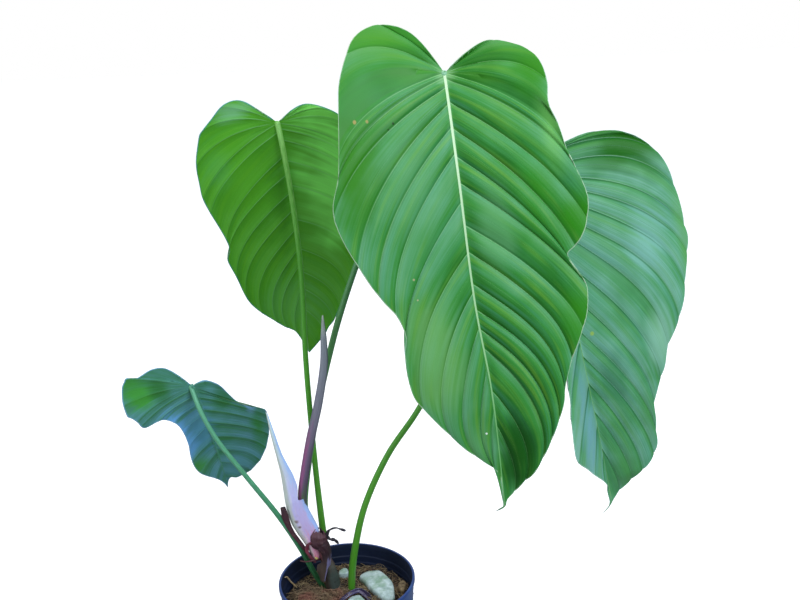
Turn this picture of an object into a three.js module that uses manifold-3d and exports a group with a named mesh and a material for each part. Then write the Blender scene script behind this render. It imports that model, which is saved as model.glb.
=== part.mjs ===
// A young potted philodendron: four long heart-shaped leaves, a rolled new leaf in its pale sheath,
// and a ribbed black nursery pot filled with mix, coir and stones.
// Millimetres, +Z up. The origin is the middle of the pot's underside; -Y is the side the front leaf faces.

import * as THREE from 'three';
import { mergeVertices } from 'three/addons/utils/BufferGeometryUtils.js';
import Module from 'manifold-3d';

// Driving dimensions

const CLEARANCE = 0.3;
const LEAF_CLEARANCE = 0.6;

const POT = {
  height: 130, rimRadius: 75, rimBand: 4.5, wall: 1.3, floor: 1.6,
  collarRadius: 73.2, collarBottom: 92, collarStep: 1.6, bodyTopRadius: 69.6, baseRadius: 53,
  rings: 3, ringPitch: 8, ringDepth: 0.7, segments: 36,
  drainHoles: 6, drainRadius: 4, drainCircle: 36,
};

const MIX = { top: 104, bump: 3.2, rings: 6 };

// A leaf's spine runs crest of the lobes, sinus, then along the midrib to the tip.
// faceBase and faceTip are the ways its upper face looks. Its margins are given as
// [distance along the spine from the sinus, distance across], seen from the upper face with the tip down.
const LEAVES = {
  front: {
    spine: [[117, -12, 709], [121, -45, 672], [129, -86, 583], [139, -108, 476], [153, -118, 386],
      [164, -108, 271]],
    faceBase: [0.05, -1, 0.45], faceTip: [-0.1, -1, 0.15],
    foldRight: 10, foldLeft: 10, curl: 0.0012, veins: 14, wave: 2.5, lobeRight: 0.42, lobeLeft: 0.42,
    right: [[-16, 23], [-27, 46], [-18, 69], [2, 87], [44, 87.5], [88, 98], [126, 110], [150, 107],
      [168, 99], [184, 94], [200, 96], [218, 101], [245, 95], [279, 75], [314, 63], [345, 50],
      [371, 37], [390, 20], [405, 8]],
    left: [[-16, -8], [-44, -27], [-55, -50], [-39, -80], [-12, -91], [30, -100], [83, -106], [114, -115],
      [140, -110], [176, -93], [211, -71], [228, -67], [244, -71], [268, -73], [291, -69], [337, -41],
      [368, -17], [395, -5]],
    tail: 0, tailBend: [0, 0, 0],
  },
  left: {
    spine: [[-47, 32, 656], [-43, 40, 625], [-38, 60, 563], [-36, 85, 494], [-38, 110, 417], [-36, 128, 350]],
    faceBase: [-0.25, 0.9, 0.35], faceTip: [-0.1, 1, 0.1],
    foldRight: 6, foldLeft: 6, curl: 0.0015, veins: 12, wave: 2, lobeRight: 0.42, lobeLeft: 0.36,
    right: [[-11, 10], [-30, 29], [-31, 47], [-19, 64], [-5, 79], [25, 88], [76, 89], [128, 75], [143, 74],
      [156, 77], [179, 70], [217, 57], [248, 28], [263, 10]],
    left: [[-9, -17], [-10, -35], [6, -62], [32, -76], [72, -84], [124, -79], [177, -62], [215, -49],
      [246, -36], [270, -19]],
    tail: 0, tailBend: [0, 0, 0],
  },
  right: {
    spine: [[226, 60, 616], [231, 50, 583], [240, 20, 486], [257, 5, 383], [276, 10, 294], [296, 25, 200]],
    faceBase: [0.5, -0.86, 0.35], faceTip: [0.5, -0.86, 0.1],
    foldRight: 28, foldLeft: 43, curl: 0.002, veins: 13, wave: 2.5, lobeRight: 0.42, lobeLeft: 0.42,
    right: [[-7, 15], [-13, 42], [-11.5, 68], [0, 99], [30, 124], [77, 133.5], [113, 136.5], [153, 128],
      [206, 111], [234, 95], [258, 86], [278, 74], [315, 64.5], [344, 60.5], [365, 44], [383, 22],
      [395, 8], [405, 3]],
    left: [[-9, -12], [-14, -38], [-12, -62], [3, -92], [30, -112], [90, -118], [140, -107], [180, -91],
      [212, -85], [240, -90], [258, -98], [277, -97], [307, -69], [347, -30], [375, -11], [392, -5],
      [405, -2.5]],
    tail: 20, tailBend: [-10, 0, 0],
  },
  small: {
    spine: [[-149, -32, 399], [-143, -20, 371], [-139, 0, 334], [-136, 25, 288], [-134, 45, 250],
      [-133, 62, 215]],
    faceBase: [-0.45, 0.85, 0.1], faceTip: [-0.45, 0.85, 0.1],
    foldRight: 5, foldLeft: 5, curl: 0.003, veins: 9, wave: 1, lobeRight: 0.48, lobeLeft: 0.2,
    right: [[-22, 8], [-37, 16], [-44, 30], [-49, 52], [-41, 61], [-24, 67], [-7, 68], [9, 64], [20, 58],
      [24, 42], [34, 33], [46, 28], [62, 26], [80, 26], [98, 28], [114, 28.5], [130, 26], [143, 19],
      [155, 10], [166, 4]],
    left: [[2, -14], [22, -29], [44, -37], [66, -49], [86, -63], [106, -65], [124, -61], [148, -49],
      [164, -32], [170, -14]],
    tail: 0, tailBend: [0, 0, 0],
  },
};

const BLADE = {
  thickness: 1.2, tipThickness: 0.7, veinDepth: 1.5, ribTop: 0.5, ribKeel: 2.6, ribKeelTip: 0.4,
  ribHalfWidth: 3.6, sinusPad: 9, columns: 7, sinusRows: 0.42, ribRows: 0.57, rowCrowding: 1.25,
  notchReach: 0.06, tangentReach: 4, spineSteps: 200, flatFrom: 50, flatTo: 18,
};

// Stems: way-points from the pot or sheath up to the leaf's sinus, with the radius at each.
const PETIOLES = {
  front: {
    path: [[-40, 6, 206], [-40, 6, 224], [-23, 6, 317], [-6, 8, 389], [10, 9, 436], [34, 14, 495],
      [62, 22, 560], [93, 14, 627], [114, -16, 659], [121, -45, 672]],
    radius: [3.2, 3.1, 3, 3, 2.9, 2.9, 2.8, 2.8, 3, 3.2],
  },
  left: {
    path: [[-11, 30, 88], [-14, 28, 110], [-19, 24, 145], [-21, 20, 179], [-27, 18, 241], [-29, 20, 311],
      [-31, 28, 378], [-30, 36, 472], [-34, 38, 550], [-39, 36, 600], [-43, 40, 625]],
    radius: [3.3, 3.3, 3.1, 3, 2.9, 2.8, 2.8, 2.7, 2.7, 2.8, 3],
  },
  right: {
    path: [[0, 10, 88], [3, 10, 108], [6, 8, 134], [13, 6, 166], [24, 5, 215], [49, 9, 272], [88, 18, 323],
      [140, 34, 423], [190, 54, 515], [222, 60, 568], [231, 50, 583]],
    radius: [3.8, 3.8, 3.7, 3.5, 3.2, 3, 2.9, 2.8, 2.8, 2.9, 3],
  },
  small: {
    path: [[-24, 24, 90], [-30, 20, 112], [-39, 14, 133], [-50, 4, 163], [-70, -6, 211], [-98, -16, 266],
      [-120, -22, 311], [-135, -25, 345], [-143, -20, 371]],
    radius: [2.9, 2.9, 2.9, 2.8, 2.7, 2.5, 2.4, 2.3, 2.4],
  },
};

const STEM = {
  path: [[-15, 10, 86], [-17, 10, 104], [-18, 10, 114], [-20, 8.5, 129], [-22, 6, 147], [-28, 3, 159],
    [-34, 0, 171], [-37, -1, 178]],
  radius: [8.5, 8.8, 8, 6.4, 5, 5.3, 5.6, 4.5],
};
const STEM_ROOT = {
  path: [[-25, 2, 154], [-32, -5, 157], [-37, -8, 158], [-43, -8, 157], [-49, -6, 158]],
  radius: [1.2, 1.1, 0.9, 0.8, 0.6],
};

// The pale sheath leans left; each section is [half width, half depth].
const SHEATH = {
  path: [[-31, 2, 168], [-34, 1, 175], [-38, 0, 184], [-43, -1, 201], [-48, -2, 224], [-51, -3, 242],
    [-55.5, -5, 261], [-62, -8, 285], [-67, -11, 312], [-71, -12, 336]],
  section: [[6.5, 6], [8, 7], [10, 9], [11, 10.5], [9.7, 9.5], [8.2, 6], [6.6, 4], [4.4, 2.4],
    [2.8, 1.6], [0.7, 0.7]],
};
const SPEAR = {
  path: [[-42, -4, 210], [-41.5, -4, 225], [-41, -4, 237], [-37.5, -4, 259], [-29.5, -4, 301], [-18, -4, 342],
    [-9.5, -4, 383], [-7.5, -4, 411], [-7, -4, 434]],
  radius: [4, 4.6, 5, 5, 5, 4.7, 4.3, 3.3, 1],
};
const OLD_SHEATH = {
  path: [[-29, -3, 194], [-25, -3, 189], [-23, -2, 178], [-21, 1, 163], [-18, 4, 148], [-15, 6, 133]],
  radius: [3, 6.2, 7.2, 6.6, 5.6, 4],
};
const OLD_SHEATH_TEARS = [
  {
    path: [[-21, -1, 184], [-15, 0, 190], [-9, 0, 193.5], [-3, 0, 191], [1, 0, 189]],
    radius: [1.8, 1.4, 0.9, 0.8, 1.3],
  },
  { path: [[-20, -1, 182], [-14, -1, 181], [-9, 0, 178.5], [-6, 0, 175]], radius: [1.8, 1.6, 1.5, 0.8] },
];
const DRY_STRAP = {
  path: [[-66, -6, 226], [-62.5, -6, 214], [-58, -6, 199], [-50, -5, 181], [-42, -3, 168], [-34, 0, 159],
    [-28, 2, 154]],
  section: [[2.6, 0.8], [3.3, 0.8], [3.4, 0.8], [2.8, 0.8], [2.2, 0.9], [1.8, 1], [1.5, 1]],
};

// Stones and bark lying in the mix: centre, half sizes and turn about Z in degrees.
const STONES = {
  stone_large: { centre: [31, 15, 108.5], half: [15, 30, 6.5], turn: 30, tilt: [6, -9], rough: 0.07, seed: 3 },
  stone_front: { centre: [9, -13, 107], half: [10, 9, 5.5], turn: 10, tilt: [4, 0], rough: 0.08, seed: 8 },
  stone_small: { centre: [-6, 47, 106.5], half: [6, 7.5, 5], turn: 20, tilt: [0, 5], rough: 0.1, seed: 13 },
  bark_chip: { centre: [60, 14, 106.5], half: [5.5, 12, 3.6], turn: 12, tilt: [3, 10], rough: 0.12, seed: 21 },
};
const FALLEN_SHEATH = {
  path: [[-14, -24, 107], [-7, -14, 110.5], [3, -5.5, 113], [13, 0, 113.5], [21, -4, 110], [25, -13, 106.5]],
  section: [[1.6, 1], [2.2, 1.4], [2.6, 1.6], [3, 2], [4.5, 2.4], [2.5, 1.6]],
};

const COIR = {
  centre: [-39, -12, 106.5], half: [20, 24, 5.5], turn: -12, rough: 0.16, seed: 34,
  fibres: 9, fibreRadius: 0.75, fibreLength: [16, 28], spread: 12, rise: 7, fibreSeed: 5,
};

const COLOURS = {
  pot: '#14233c', mix: '#3b2f25', coir: '#6d4a33', stone: '#a9c0b4', bark: '#6d5b45', fallen: '#2b2436',
  stem: '#53604f', sheath: '#bcc6e0', spear: '#7e6f7c', oldSheath: '#3a2630', strap: '#4a2f33',
  petiole: '#3f7a2c', petioleBlue: '#3f7a5c', leafFront: '#47924a', leafLeft: '#3d8a28', leafRight: '#4f8e6b',
  leafSmall: '#3a774a',
};

// Small tools

const { lerp, smoothstep, degToRad, clamp } = THREE.MathUtils;
const vec = (p) => new THREE.Vector3(p[0], p[1], p[2]);

function seededRandom(seed) {
  let state = seed * 7919 + 17;
  return () => {
    state = (state * 48271) % 2147483647;
    return state / 2147483647;
  };
}

function closedGeometry(points, triangles) {
  const geometry = new THREE.BufferGeometry();
  const places = points.flatMap((p) => [p.x, p.y, p.z]);
  geometry.setAttribute('position', new THREE.Float32BufferAttribute(places, 3));
  geometry.setIndex(triangles.flat());
  return geometry;
}

const wasm = await Module();
wasm.setup();

function toSolid(source) {
  const bare = source.clone();
  bare.deleteAttribute('normal');
  bare.deleteAttribute('uv');
  const merged = mergeVertices(bare, 1e-4);
  const index = merged.index.array;
  const kept = [];
  for (let i = 0; i < index.length; i += 3) {
    const [a, b, c] = [index[i], index[i + 1], index[i + 2]];
    if (a !== b && b !== c && c !== a) kept.push(a, b, c);
  }
  return new wasm.Manifold(new wasm.Mesh({
    numProp: 3,
    vertProperties: new Float32Array(merged.getAttribute('position').array),
    triVerts: new Uint32Array(kept),
  }));
}

// Only the largest body of a cut is kept; a loose scrap is dropped.
function toGeometry(solid) {
  const largest = solid.decompose().sort((a, b) => b.volume() - a.volume())[0];
  const mesh = largest.getMesh();
  const geometry = new THREE.BufferGeometry();
  geometry.setAttribute('position', new THREE.BufferAttribute(new Float32Array(mesh.vertProperties), 3));
  geometry.setIndex(Array.from(mesh.triVerts));
  return geometry;
}

function cut(geometry, ...cutters) {
  return toGeometry(cutters.reduce((solid, cutter) => solid.subtract(toSolid(cutter)), toSolid(geometry)));
}

function join(geometry, ...others) {
  return toGeometry(others.reduce((solid, other) => solid.add(toSolid(other)), toSolid(geometry)));
}

// A closed round or flat-sectioned stem through way-points, with rings of equal sides and capped ends.
function stemGeometry({ path, radius, section }, { sides = 10, steps = 24, grow = 0, side = [1, 0, 0] } = {}) {
  const curve = new THREE.CatmullRomCurve3(path.map(vec), false, 'centripetal');
  const sizes = section ?? radius.map((r) => [r, r]);
  const points = [];
  const across = vec(side);
  for (let i = 0; i <= steps; i++) {
    const t = i / steps;
    const along = t * (path.length - 1);
    const low = Math.min(Math.floor(along), path.length - 2);
    const [width, depth] = [0, 1].map((k) => lerp(sizes[low][k], sizes[low + 1][k], along - low) + grow);
    const tangent = curve.getTangent(t);
    across.addScaledVector(tangent, -across.dot(tangent)).normalize();
    const deep = tangent.clone().cross(across);
    const overrun = i === 0 ? -grow : i === steps ? grow : 0;
    const centre = curve.getPoint(t).addScaledVector(tangent, overrun);
    for (let j = 0; j < sides; j++) {
      const angle = (2 * Math.PI * j) / sides;
      points.push(centre.clone().addScaledVector(across, width * Math.cos(angle))
        .addScaledVector(deep, depth * Math.sin(angle)));
    }
  }
  const triangles = [];
  for (let i = 0; i < steps; i++) {
    for (let j = 0; j < sides; j++) {
      const [a, b] = [i * sides + j, i * sides + ((j + 1) % sides)];
      triangles.push([a, b, b + sides], [a, b + sides, a + sides]);
    }
  }
  for (let j = 1; j < sides - 1; j++) {
    triangles.push([0, j + 1, j], [steps * sides, steps * sides + j, steps * sides + j + 1]);
  }
  return closedGeometry(points, triangles);
}

// A rough lump: a sphere whose surface is pushed in and out by a few seeded waves, then flattened and turned.
function lumpGeometry({ centre, half, turn, tilt = [0, 0], rough, seed }, { grow = 0, detail = 2 } = {}) {
  const random = seededRandom(seed);
  const waves = Array.from({ length: 5 }, () => ({
    way: new THREE.Vector3(random() - 0.5, random() - 0.5, random() - 0.5).normalize(),
    pitch: 2 + 3 * random(),
    phase: 6 * random(),
  }));
  const bare = new THREE.IcosahedronGeometry(1, detail);
  bare.deleteAttribute('normal');
  bare.deleteAttribute('uv');
  const geometry = mergeVertices(bare, 1e-4);
  const place = geometry.getAttribute('position');
  const p = new THREE.Vector3();
  for (let i = 0; i < place.count; i++) {
    p.fromBufferAttribute(place, i);
    const push = waves.reduce((sum, w) => sum + Math.sin(w.pitch * p.dot(w.way) * 2 + w.phase), 0);
    p.multiplyScalar(1 + rough * push * 0.5);
    place.setXYZ(i, p.x * (half[0] + grow), p.y * (half[1] + grow), p.z * (half[2] + grow));
  }
  geometry.rotateX(degToRad(tilt[0]));
  geometry.rotateY(degToRad(tilt[1]));
  geometry.rotateZ(degToRad(turn));
  geometry.translate(...centre);
  return geometry;
}

// Leaf blades

function makeSpine(leaf) {
  const curve = new THREE.CatmullRomCurve3(leaf.spine.map(vec), false, 'catmullrom', 0.5);
  const line = curve.getPoints(BLADE.spineSteps);
  const sinusIndex = BLADE.spineSteps / (leaf.spine.length - 1);
  const run = [0];
  for (let i = 1; i < line.length; i++) run.push(run[i - 1] + line[i].distanceTo(line[i - 1]));
  const start = run[sinusIndex];
  const reach = run.map((d) => d - start);
  const length = reach[reach.length - 1];
  const at = (a) => {
    let i = 1;
    while (i < reach.length - 1 && reach[i] < a) i++;
    const share = clamp((a - reach[i - 1]) / (reach[i] - reach[i - 1]), 0, 1);
    return line[i - 1].clone().lerp(line[i], share);
  };
  return { at, crest: reach[0], length };
}

// The place on a blade's middle surface at a along the spine and b across it, lifted off its upper face.
function bladePoint(leaf, spine, a, b, lift) {
  const inside = clamp(a, spine.crest + BLADE.tangentReach, spine.length - BLADE.tangentReach);
  const tangent = spine.at(inside + BLADE.tangentReach).sub(spine.at(inside - BLADE.tangentReach)).normalize();
  const over = a - clamp(a, spine.crest, spine.length);
  const base = spine.at(a).addScaledVector(tangent, over);
  if (over > 0 && leaf.tail > 0) base.addScaledVector(vec(leaf.tailBend), (over / leaf.tail) ** 2);
  const face = vec(leaf.faceBase).normalize()
    .lerp(vec(leaf.faceTip).normalize(), clamp(a / spine.length, 0, 1)).normalize();
  const normal = face.addScaledVector(tangent, -face.dot(tangent)).normalize();
  const right = normal.clone().cross(tangent);
  const full = spine.length + leaf.tail;
  const flattening = smoothstep(a, full - BLADE.flatFrom, full - BLADE.flatTo);
  const fold = degToRad(b >= 0 ? leaf.foldRight : leaf.foldLeft) * (1 - flattening);
  const angle = leaf.curl * Math.abs(b);
  const out = Math.sin(angle) / leaf.curl;
  const drop = (Math.cos(angle) - 1) / leaf.curl;
  const across = out * Math.cos(fold) - drop * Math.sin(fold);
  const rise = out * Math.sin(fold) + drop * Math.cos(fold);
  return base.addScaledVector(right, Math.sign(b) * across).addScaledVector(normal, rise + lift);
}

// How far along the midrib the vein at share x leaves it: evenly at first, closing up towards the tip.
function midribShare(x) {
  return 0.78 * x + 0.22 * x ** 6 + 0.02 * smoothstep(x, 0.82, 0.97);
}

// The half blade's margin from the sinus round the lobe to the tip, and that line with its notches smoothed.
function makeMargin(leaf, side, full) {
  const outline = side > 0 ? leaf.right : leaf.left;
  const line = new THREE.SplineCurve([[0, 0], ...outline, [full, 0]].map(([a, b]) => new THREE.Vector2(a, b)));
  line.arcLengthDivisions = 600;
  const lobe = side > 0 ? leaf.lobeRight : leaf.lobeLeft;
  const shareAt = (u) => (u < BLADE.sinusRows ? (u * lobe) / BLADE.sinusRows
    : lobe + ((u - BLADE.sinusRows) * (1 - lobe)) / (1 - BLADE.sinusRows));
  const at = (u) => line.getPointAt(clamp(shareAt(u), 0, 1));
  const smoothAt = (u) => {
    const reach = BLADE.notchReach * smoothstep(u, 0, 0.3) * (1 - smoothstep(u, 0.8, 1));
    const sum = new THREE.Vector2();
    for (let k = -3; k <= 3; k++) sum.add(at(u + (reach * k) / 3));
    return sum.multiplyScalar(1 / 7);
  };
  return { at, smoothAt };
}

// The flat place [a, b] at share t along the vein of row u: veins leave the sinus first, then the midrib,
// bow towards the leaf's base and end on the margin.
function veinPoint(margin, full, side, u, t) {
  const x = Math.max(0, (u - BLADE.sinusRows) / (1 - BLADE.sinusRows));
  const start = new THREE.Vector2(full * midribShare(x), 0);
  const end = margin.smoothAt(u);
  const chord = end.clone().sub(start);
  const bow = (0.13 + (u < 0.55 ? 1.1 : 0.5) * (u - 0.55) ** 2) * smoothstep(u, 0.1, 0.42)
    * (1 - smoothstep(u, 0.8, 0.97));
  const bend = start.clone().lerp(end, 0.5)
    .add(new THREE.Vector2(-Math.abs(chord.y), side * chord.x).multiplyScalar(bow));
  const notch = margin.at(u).sub(end);
  return new THREE.QuadraticBezierCurve(start, bend, end).getPoint(t).add(notch.multiplyScalar(t ** 3));
}

function bladeGeometry(leaf, grow = 0) {
  const spine = makeSpine(leaf);
  const full = spine.length + leaf.tail;
  const rows = 2 * leaf.veins;
  const points = [];
  const up = [];
  const down = [];
  const place = (a, b, lift, ribTop, keel) => {
    const half = lerp(BLADE.thickness, BLADE.tipThickness, smoothstep(a / full, 0.8, 0.96)) / 2;
    points.push(bladePoint(leaf, spine, a, b, lift));
    up.push(half + ribTop);
    down.push(half + keel);
    return points.length - 1;
  };
  place(0, 0, 0, BLADE.ribTop, BLADE.ribKeel);
  const share = (row) => 1 - (1 - row / rows) ** BLADE.rowCrowding;
  const middle = [];
  for (let row = 1; row < rows; row++) {
    const u = share(row);
    if (u <= BLADE.sinusRows) {
      middle.push(0);
      continue;
    }
    const x = (u - BLADE.sinusRows) / (1 - BLADE.sinusRows);
    const keel = lerp(BLADE.ribKeel, BLADE.ribKeelTip, x);
    middle.push(place(full * midribShare(x), 0, 0, BLADE.ribTop * (1 - x), keel));
  }
  const tip = place(full, 0, 0, 0, 0);

  const halves = [1, -1].map((side) => {
    const margin = makeMargin(leaf, side, full);
    return Array.from({ length: rows - 1 }, (_, i) => {
      const row = i + 1;
      const u = share(row);
      const reach = margin.at(u).distanceTo(veinPoint(margin, full, side, u, 0));
      const impressed = (row % 2 === 0) === (side > 0) ? -1 : 1;
      const rib = lerp(BLADE.sinusPad, BLADE.ribHalfWidth, smoothstep(u, BLADE.sinusRows, BLADE.ribRows));
      const width = u > BLADE.ribRows ? Math.abs(margin.at(u).y) : reach;
      const first = clamp(rib / width, 0.02, 0.45);
      const depth = BLADE.veinDepth * smoothstep(reach, 15, 70) * (1 - smoothstep(u, 0.75, 0.97));
      const line = [middle[i]];
      for (let column = 1; column <= BLADE.columns; column++) {
        const t = lerp(first, 1, (column - 1) / (BLADE.columns - 1));
        const { x: a, y: b } = veinPoint(margin, full, side, u, t);
        const relief = impressed * depth * smoothstep(t, 0, 0.35);
        const wave = leaf.wave * t ** 3 * Math.sin(18 * u + side) * (1 - smoothstep(u, 0.85, 1));
        line.push(place(a, b, relief * (1 - 0.5 * t * t) + wave, 0, 0));
      }
      return line;
    });
  });

  // One sheet of triangles, the same on both faces, with the right half's order turned for the left.
  const sheet = [];
  const put = (side, a, b, c) => {
    if (a !== b && b !== c && c !== a) sheet.push(side > 0 ? [a, b, c] : [a, c, b]);
  };
  halves.forEach((lines, half) => {
    const side = half === 0 ? 1 : -1;
    for (let row = 0; row < lines.length - 1; row++) {
      for (let column = 0; column < BLADE.columns; column++) {
        const [a, b] = [lines[row][column], lines[row][column + 1]];
        const [d, c] = [lines[row + 1][column], lines[row + 1][column + 1]];
        put(side, a, d, c);
        put(side, a, c, b);
      }
    }
    const last = lines[lines.length - 1];
    for (let column = 0; column < BLADE.columns; column++) put(side, last[column], tip, last[column + 1]);
  });
  const [rightHalf, leftHalf] = halves;
  const outer = (lines) => lines.map((line) => line[BLADE.columns]);
  const loop = [0, ...leftHalf[0].slice(1), ...outer(leftHalf).slice(1), tip,
    ...outer(rightHalf).slice(1).reverse(), ...rightHalf[0].slice(1).reverse()];

  const normals = points.map(() => new THREE.Vector3());
  sheet.forEach(([a, b, c]) => {
    const facet = points[b].clone().sub(points[a]).cross(points[c].clone().sub(points[a]));
    [a, b, c].forEach((i) => normals[i].add(facet));
  });
  normals.forEach((n) => n.normalize());
  if (grow > 0) {
    const outward = loop.map((i, k) => {
      const run = points[loop[(k + 1) % loop.length]].clone().sub(points[loop.at(k - 1)]);
      return run.cross(normals[i]).normalize();
    });
    loop.forEach((i, k) => points[i].addScaledVector(outward[k], grow));
  }
  const count = points.length;
  const upper = points.map((p, i) => p.clone().addScaledVector(normals[i], up[i] + grow));
  const lower = points.map((p, i) => p.clone().addScaledVector(normals[i], -down[i] - grow));
  const triangles = [...sheet, ...sheet.map(([a, b, c]) => [a + count, c + count, b + count])];
  loop.forEach((a, k) => {
    const b = loop[(k + 1) % loop.length];
    triangles.push([b, a, a + count], [b, a + count, b + count]);
  });
  return closedGeometry([...upper, ...lower], triangles);
}

// Pot and its filling

// The pot's outer profile from the foot to the rim as [radius, height].
function potWall() {
  const p = POT;
  const collarTop = p.height - p.rimBand;
  const wall = [[p.baseRadius - 1.5, 0], [p.baseRadius, 1.5], [p.bodyTopRadius, p.collarBottom],
    [p.bodyTopRadius + p.collarStep, p.collarBottom + 1]];
  for (let ring = 0; ring < p.rings; ring++) {
    const z = p.collarBottom + 6 + ring * p.ringPitch;
    const rise = (z - p.collarBottom) / (collarTop - p.collarBottom);
    const r = lerp(p.bodyTopRadius + p.collarStep, p.collarRadius, rise);
    wall.push([r, z], [r + p.ringDepth, z + 1.2]);
  }
  wall.push([p.collarRadius, collarTop - 0.8], [p.rimRadius, collarTop], [p.rimRadius, p.height - 0.6]);
  return wall;
}

function potInside() {
  const p = POT;
  const inner = potWall().slice(2, -2).map(([r, z]) => [r - p.wall, z]);
  return [[p.baseRadius - p.wall, p.floor], ...inner, [p.collarRadius - p.wall, p.height - p.rimBand],
    [p.collarRadius - p.wall + 0.5, p.height]];
}

function potGeometry() {
  const p = POT;
  const outline = [[0, 0], ...potWall(), [p.rimRadius - 0.6, p.height], ...potInside().reverse(), [0, p.floor]];
  const shell = new THREE.LatheGeometry(outline.map(([r, z]) => new THREE.Vector2(r, z)), p.segments);
  shell.rotateX(Math.PI / 2);
  const holes = Array.from({ length: p.drainHoles }, (_, i) => {
    const angle = ((i + 0.5) / p.drainHoles) * 2 * Math.PI;
    const hole = new THREE.CylinderGeometry(p.drainRadius, p.drainRadius, 6, 10);
    hole.rotateX(Math.PI / 2);
    hole.translate(p.drainCircle * Math.cos(angle), p.drainCircle * Math.sin(angle), p.floor / 2);
    return hole;
  });
  return cut(shell, ...holes);
}

function mixHeight(x, y) {
  const swell = Math.sin(x / 9 + 1) * Math.cos(y / 11 - 2);
  const crumbs = 0.6 * Math.sin((x - y) / 6) + 0.4 * Math.cos((x + 2 * y) / 5);
  return MIX.top + MIX.bump * 0.5 * (swell + crumbs);
}

// The filling follows the pot's inside up to a lumpy top.
function mixGeometry() {
  const levels = potInside().filter(([, z]) => z < MIX.top - MIX.bump).map(([r, z]) => [r - CLEARANCE, z]);
  levels[0][1] += CLEARANCE;
  const [topRadius] = levels[levels.length - 1];
  const points = [new THREE.Vector3(0, 0, levels[0][1]), new THREE.Vector3(0, 0, mixHeight(0, 0))];
  const rings = [...levels.map(([r, z]) => () => [r, z])];
  for (let i = MIX.rings; i > 0; i--) {
    rings.push((angle) => {
      const r = (topRadius * i) / MIX.rings;
      return [r, mixHeight(r * Math.cos(angle), r * Math.sin(angle))];
    });
  }
  rings.forEach((ring) => {
    for (let j = 0; j < POT.segments; j++) {
      const angle = (2 * Math.PI * j) / POT.segments;
      const [r, z] = ring(angle);
      points.push(new THREE.Vector3(r * Math.cos(angle), r * Math.sin(angle), z));
    }
  });
  const triangles = [];
  for (let j = 0; j < POT.segments; j++) {
    const next = (j + 1) % POT.segments;
    triangles.push([0, 2 + next, 2 + j]);
    for (let i = 0; i < rings.length - 1; i++) {
      const [a, b] = [2 + i * POT.segments + j, 2 + i * POT.segments + next];
      triangles.push([a, b, b + POT.segments], [a, b + POT.segments, a + POT.segments]);
    }
    const last = 2 + (rings.length - 1) * POT.segments;
    triangles.push([1, last + j, last + next]);
  }
  return closedGeometry(points, triangles);
}

// A mat of coir with stray fibres arching out of it.
function coirGeometry(grow = 0) {
  const random = seededRandom(COIR.fibreSeed);
  const fibres = Array.from({ length: COIR.fibres }, () => {
    const [angle, from, heading] = [random() * 2 * Math.PI, random() * COIR.spread, random() * 2 * Math.PI];
    const length = lerp(...COIR.fibreLength, random());
    const start = new THREE.Vector3(from * Math.cos(angle), from * Math.sin(angle), 3);
    const way = new THREE.Vector3(Math.cos(heading), Math.sin(heading), 0);
    const path = [0, 0.35, 0.7, 1].map((t) => {
      const lift = COIR.rise * (0.3 + random()) * 4 * t * (1 - t) - 1;
      return start.clone().addScaledVector(way, (t - 0.5) * length).add(vec(COIR.centre))
        .add(new THREE.Vector3(0, 0, lift)).toArray();
    });
    return stemGeometry({ path, radius: path.map(() => COIR.fibreRadius) }, { sides: 4, steps: 5, grow });
  });
  return join(lumpGeometry(COIR, { grow, detail: 1 }), ...fibres);
}

// Assembly

const plant = new THREE.Group();

function add(name, geometry, colour, roughness) {
  const finish = new THREE.MeshStandardMaterial({ color: colour, roughness, metalness: 0 });
  const mesh = new THREE.Mesh(geometry, finish);
  mesh.name = name;
  plant.add(mesh);
}

const stemShape = { sides: 12, steps: 18 };
const stemSolid = join(stemGeometry(STEM, stemShape), stemGeometry(STEM_ROOT, { sides: 6, steps: 8 }));
const stemRoom = stemGeometry(STEM, { ...stemShape, grow: CLEARANCE });
const spearRoom = stemGeometry(SPEAR, { steps: 20, grow: CLEARANCE });
const sheathRoom = stemGeometry(SHEATH, { ...stemShape, grow: CLEARANCE });
const fallenShape = { sides: 8, steps: 12 };
const petioleShape = { sides: 8, steps: 24 };
const petioleRoom = Object.fromEntries(Object.entries(PETIOLES)
  .map(([name, petiole]) => [name, stemGeometry(petiole, { ...petioleShape, grow: CLEARANCE })]));

const stoneRooms = Object.values(STONES).map((stone) => lumpGeometry(stone, { grow: CLEARANCE, detail: 1 }));
const coir = cut(coirGeometry(), ...Object.values(petioleRoom), stemRoom);
const coirRoom = coirGeometry(CLEARANCE);

add('pot', potGeometry(), COLOURS.pot, 0.35);
add('potting_mix', cut(mixGeometry(), stemRoom, coirRoom, ...Object.values(petioleRoom), ...stoneRooms,
  stemGeometry(FALLEN_SHEATH, { ...fallenShape, grow: CLEARANCE })), COLOURS.mix, 0.95);
add('coir_tuft', coir, COLOURS.coir, 0.95);
Object.entries(STONES).forEach(([name, stone]) => {
  add(name, lumpGeometry(stone, { detail: 1 }), name === 'bark_chip' ? COLOURS.bark : COLOURS.stone, 0.85);
});
add('fallen_sheath', cut(stemGeometry(FALLEN_SHEATH, fallenShape), ...stoneRooms, petioleRoom.right, stemRoom),
  COLOURS.fallen, 0.3);
add('stem', stemSolid, COLOURS.stem, 0.6);
add('pale_sheath', cut(stemGeometry(SHEATH, stemShape), stemRoom, spearRoom, petioleRoom.front),
  COLOURS.sheath, 0.4);
add('new_leaf', stemGeometry(SPEAR, { steps: 20 }), COLOURS.spear, 0.4);
add('old_sheath', cut(join(stemGeometry(OLD_SHEATH, { steps: 14 }),
  ...OLD_SHEATH_TEARS.map((tear) => stemGeometry(tear, { sides: 6, steps: 8 }))), stemRoom, sheathRoom,
petioleRoom.left), COLOURS.oldSheath, 0.7);
add('dry_strap', cut(stemGeometry(DRY_STRAP, { sides: 8, steps: 14 }), stemRoom, sheathRoom, petioleRoom.small),
  COLOURS.strap, 0.8);

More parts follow.
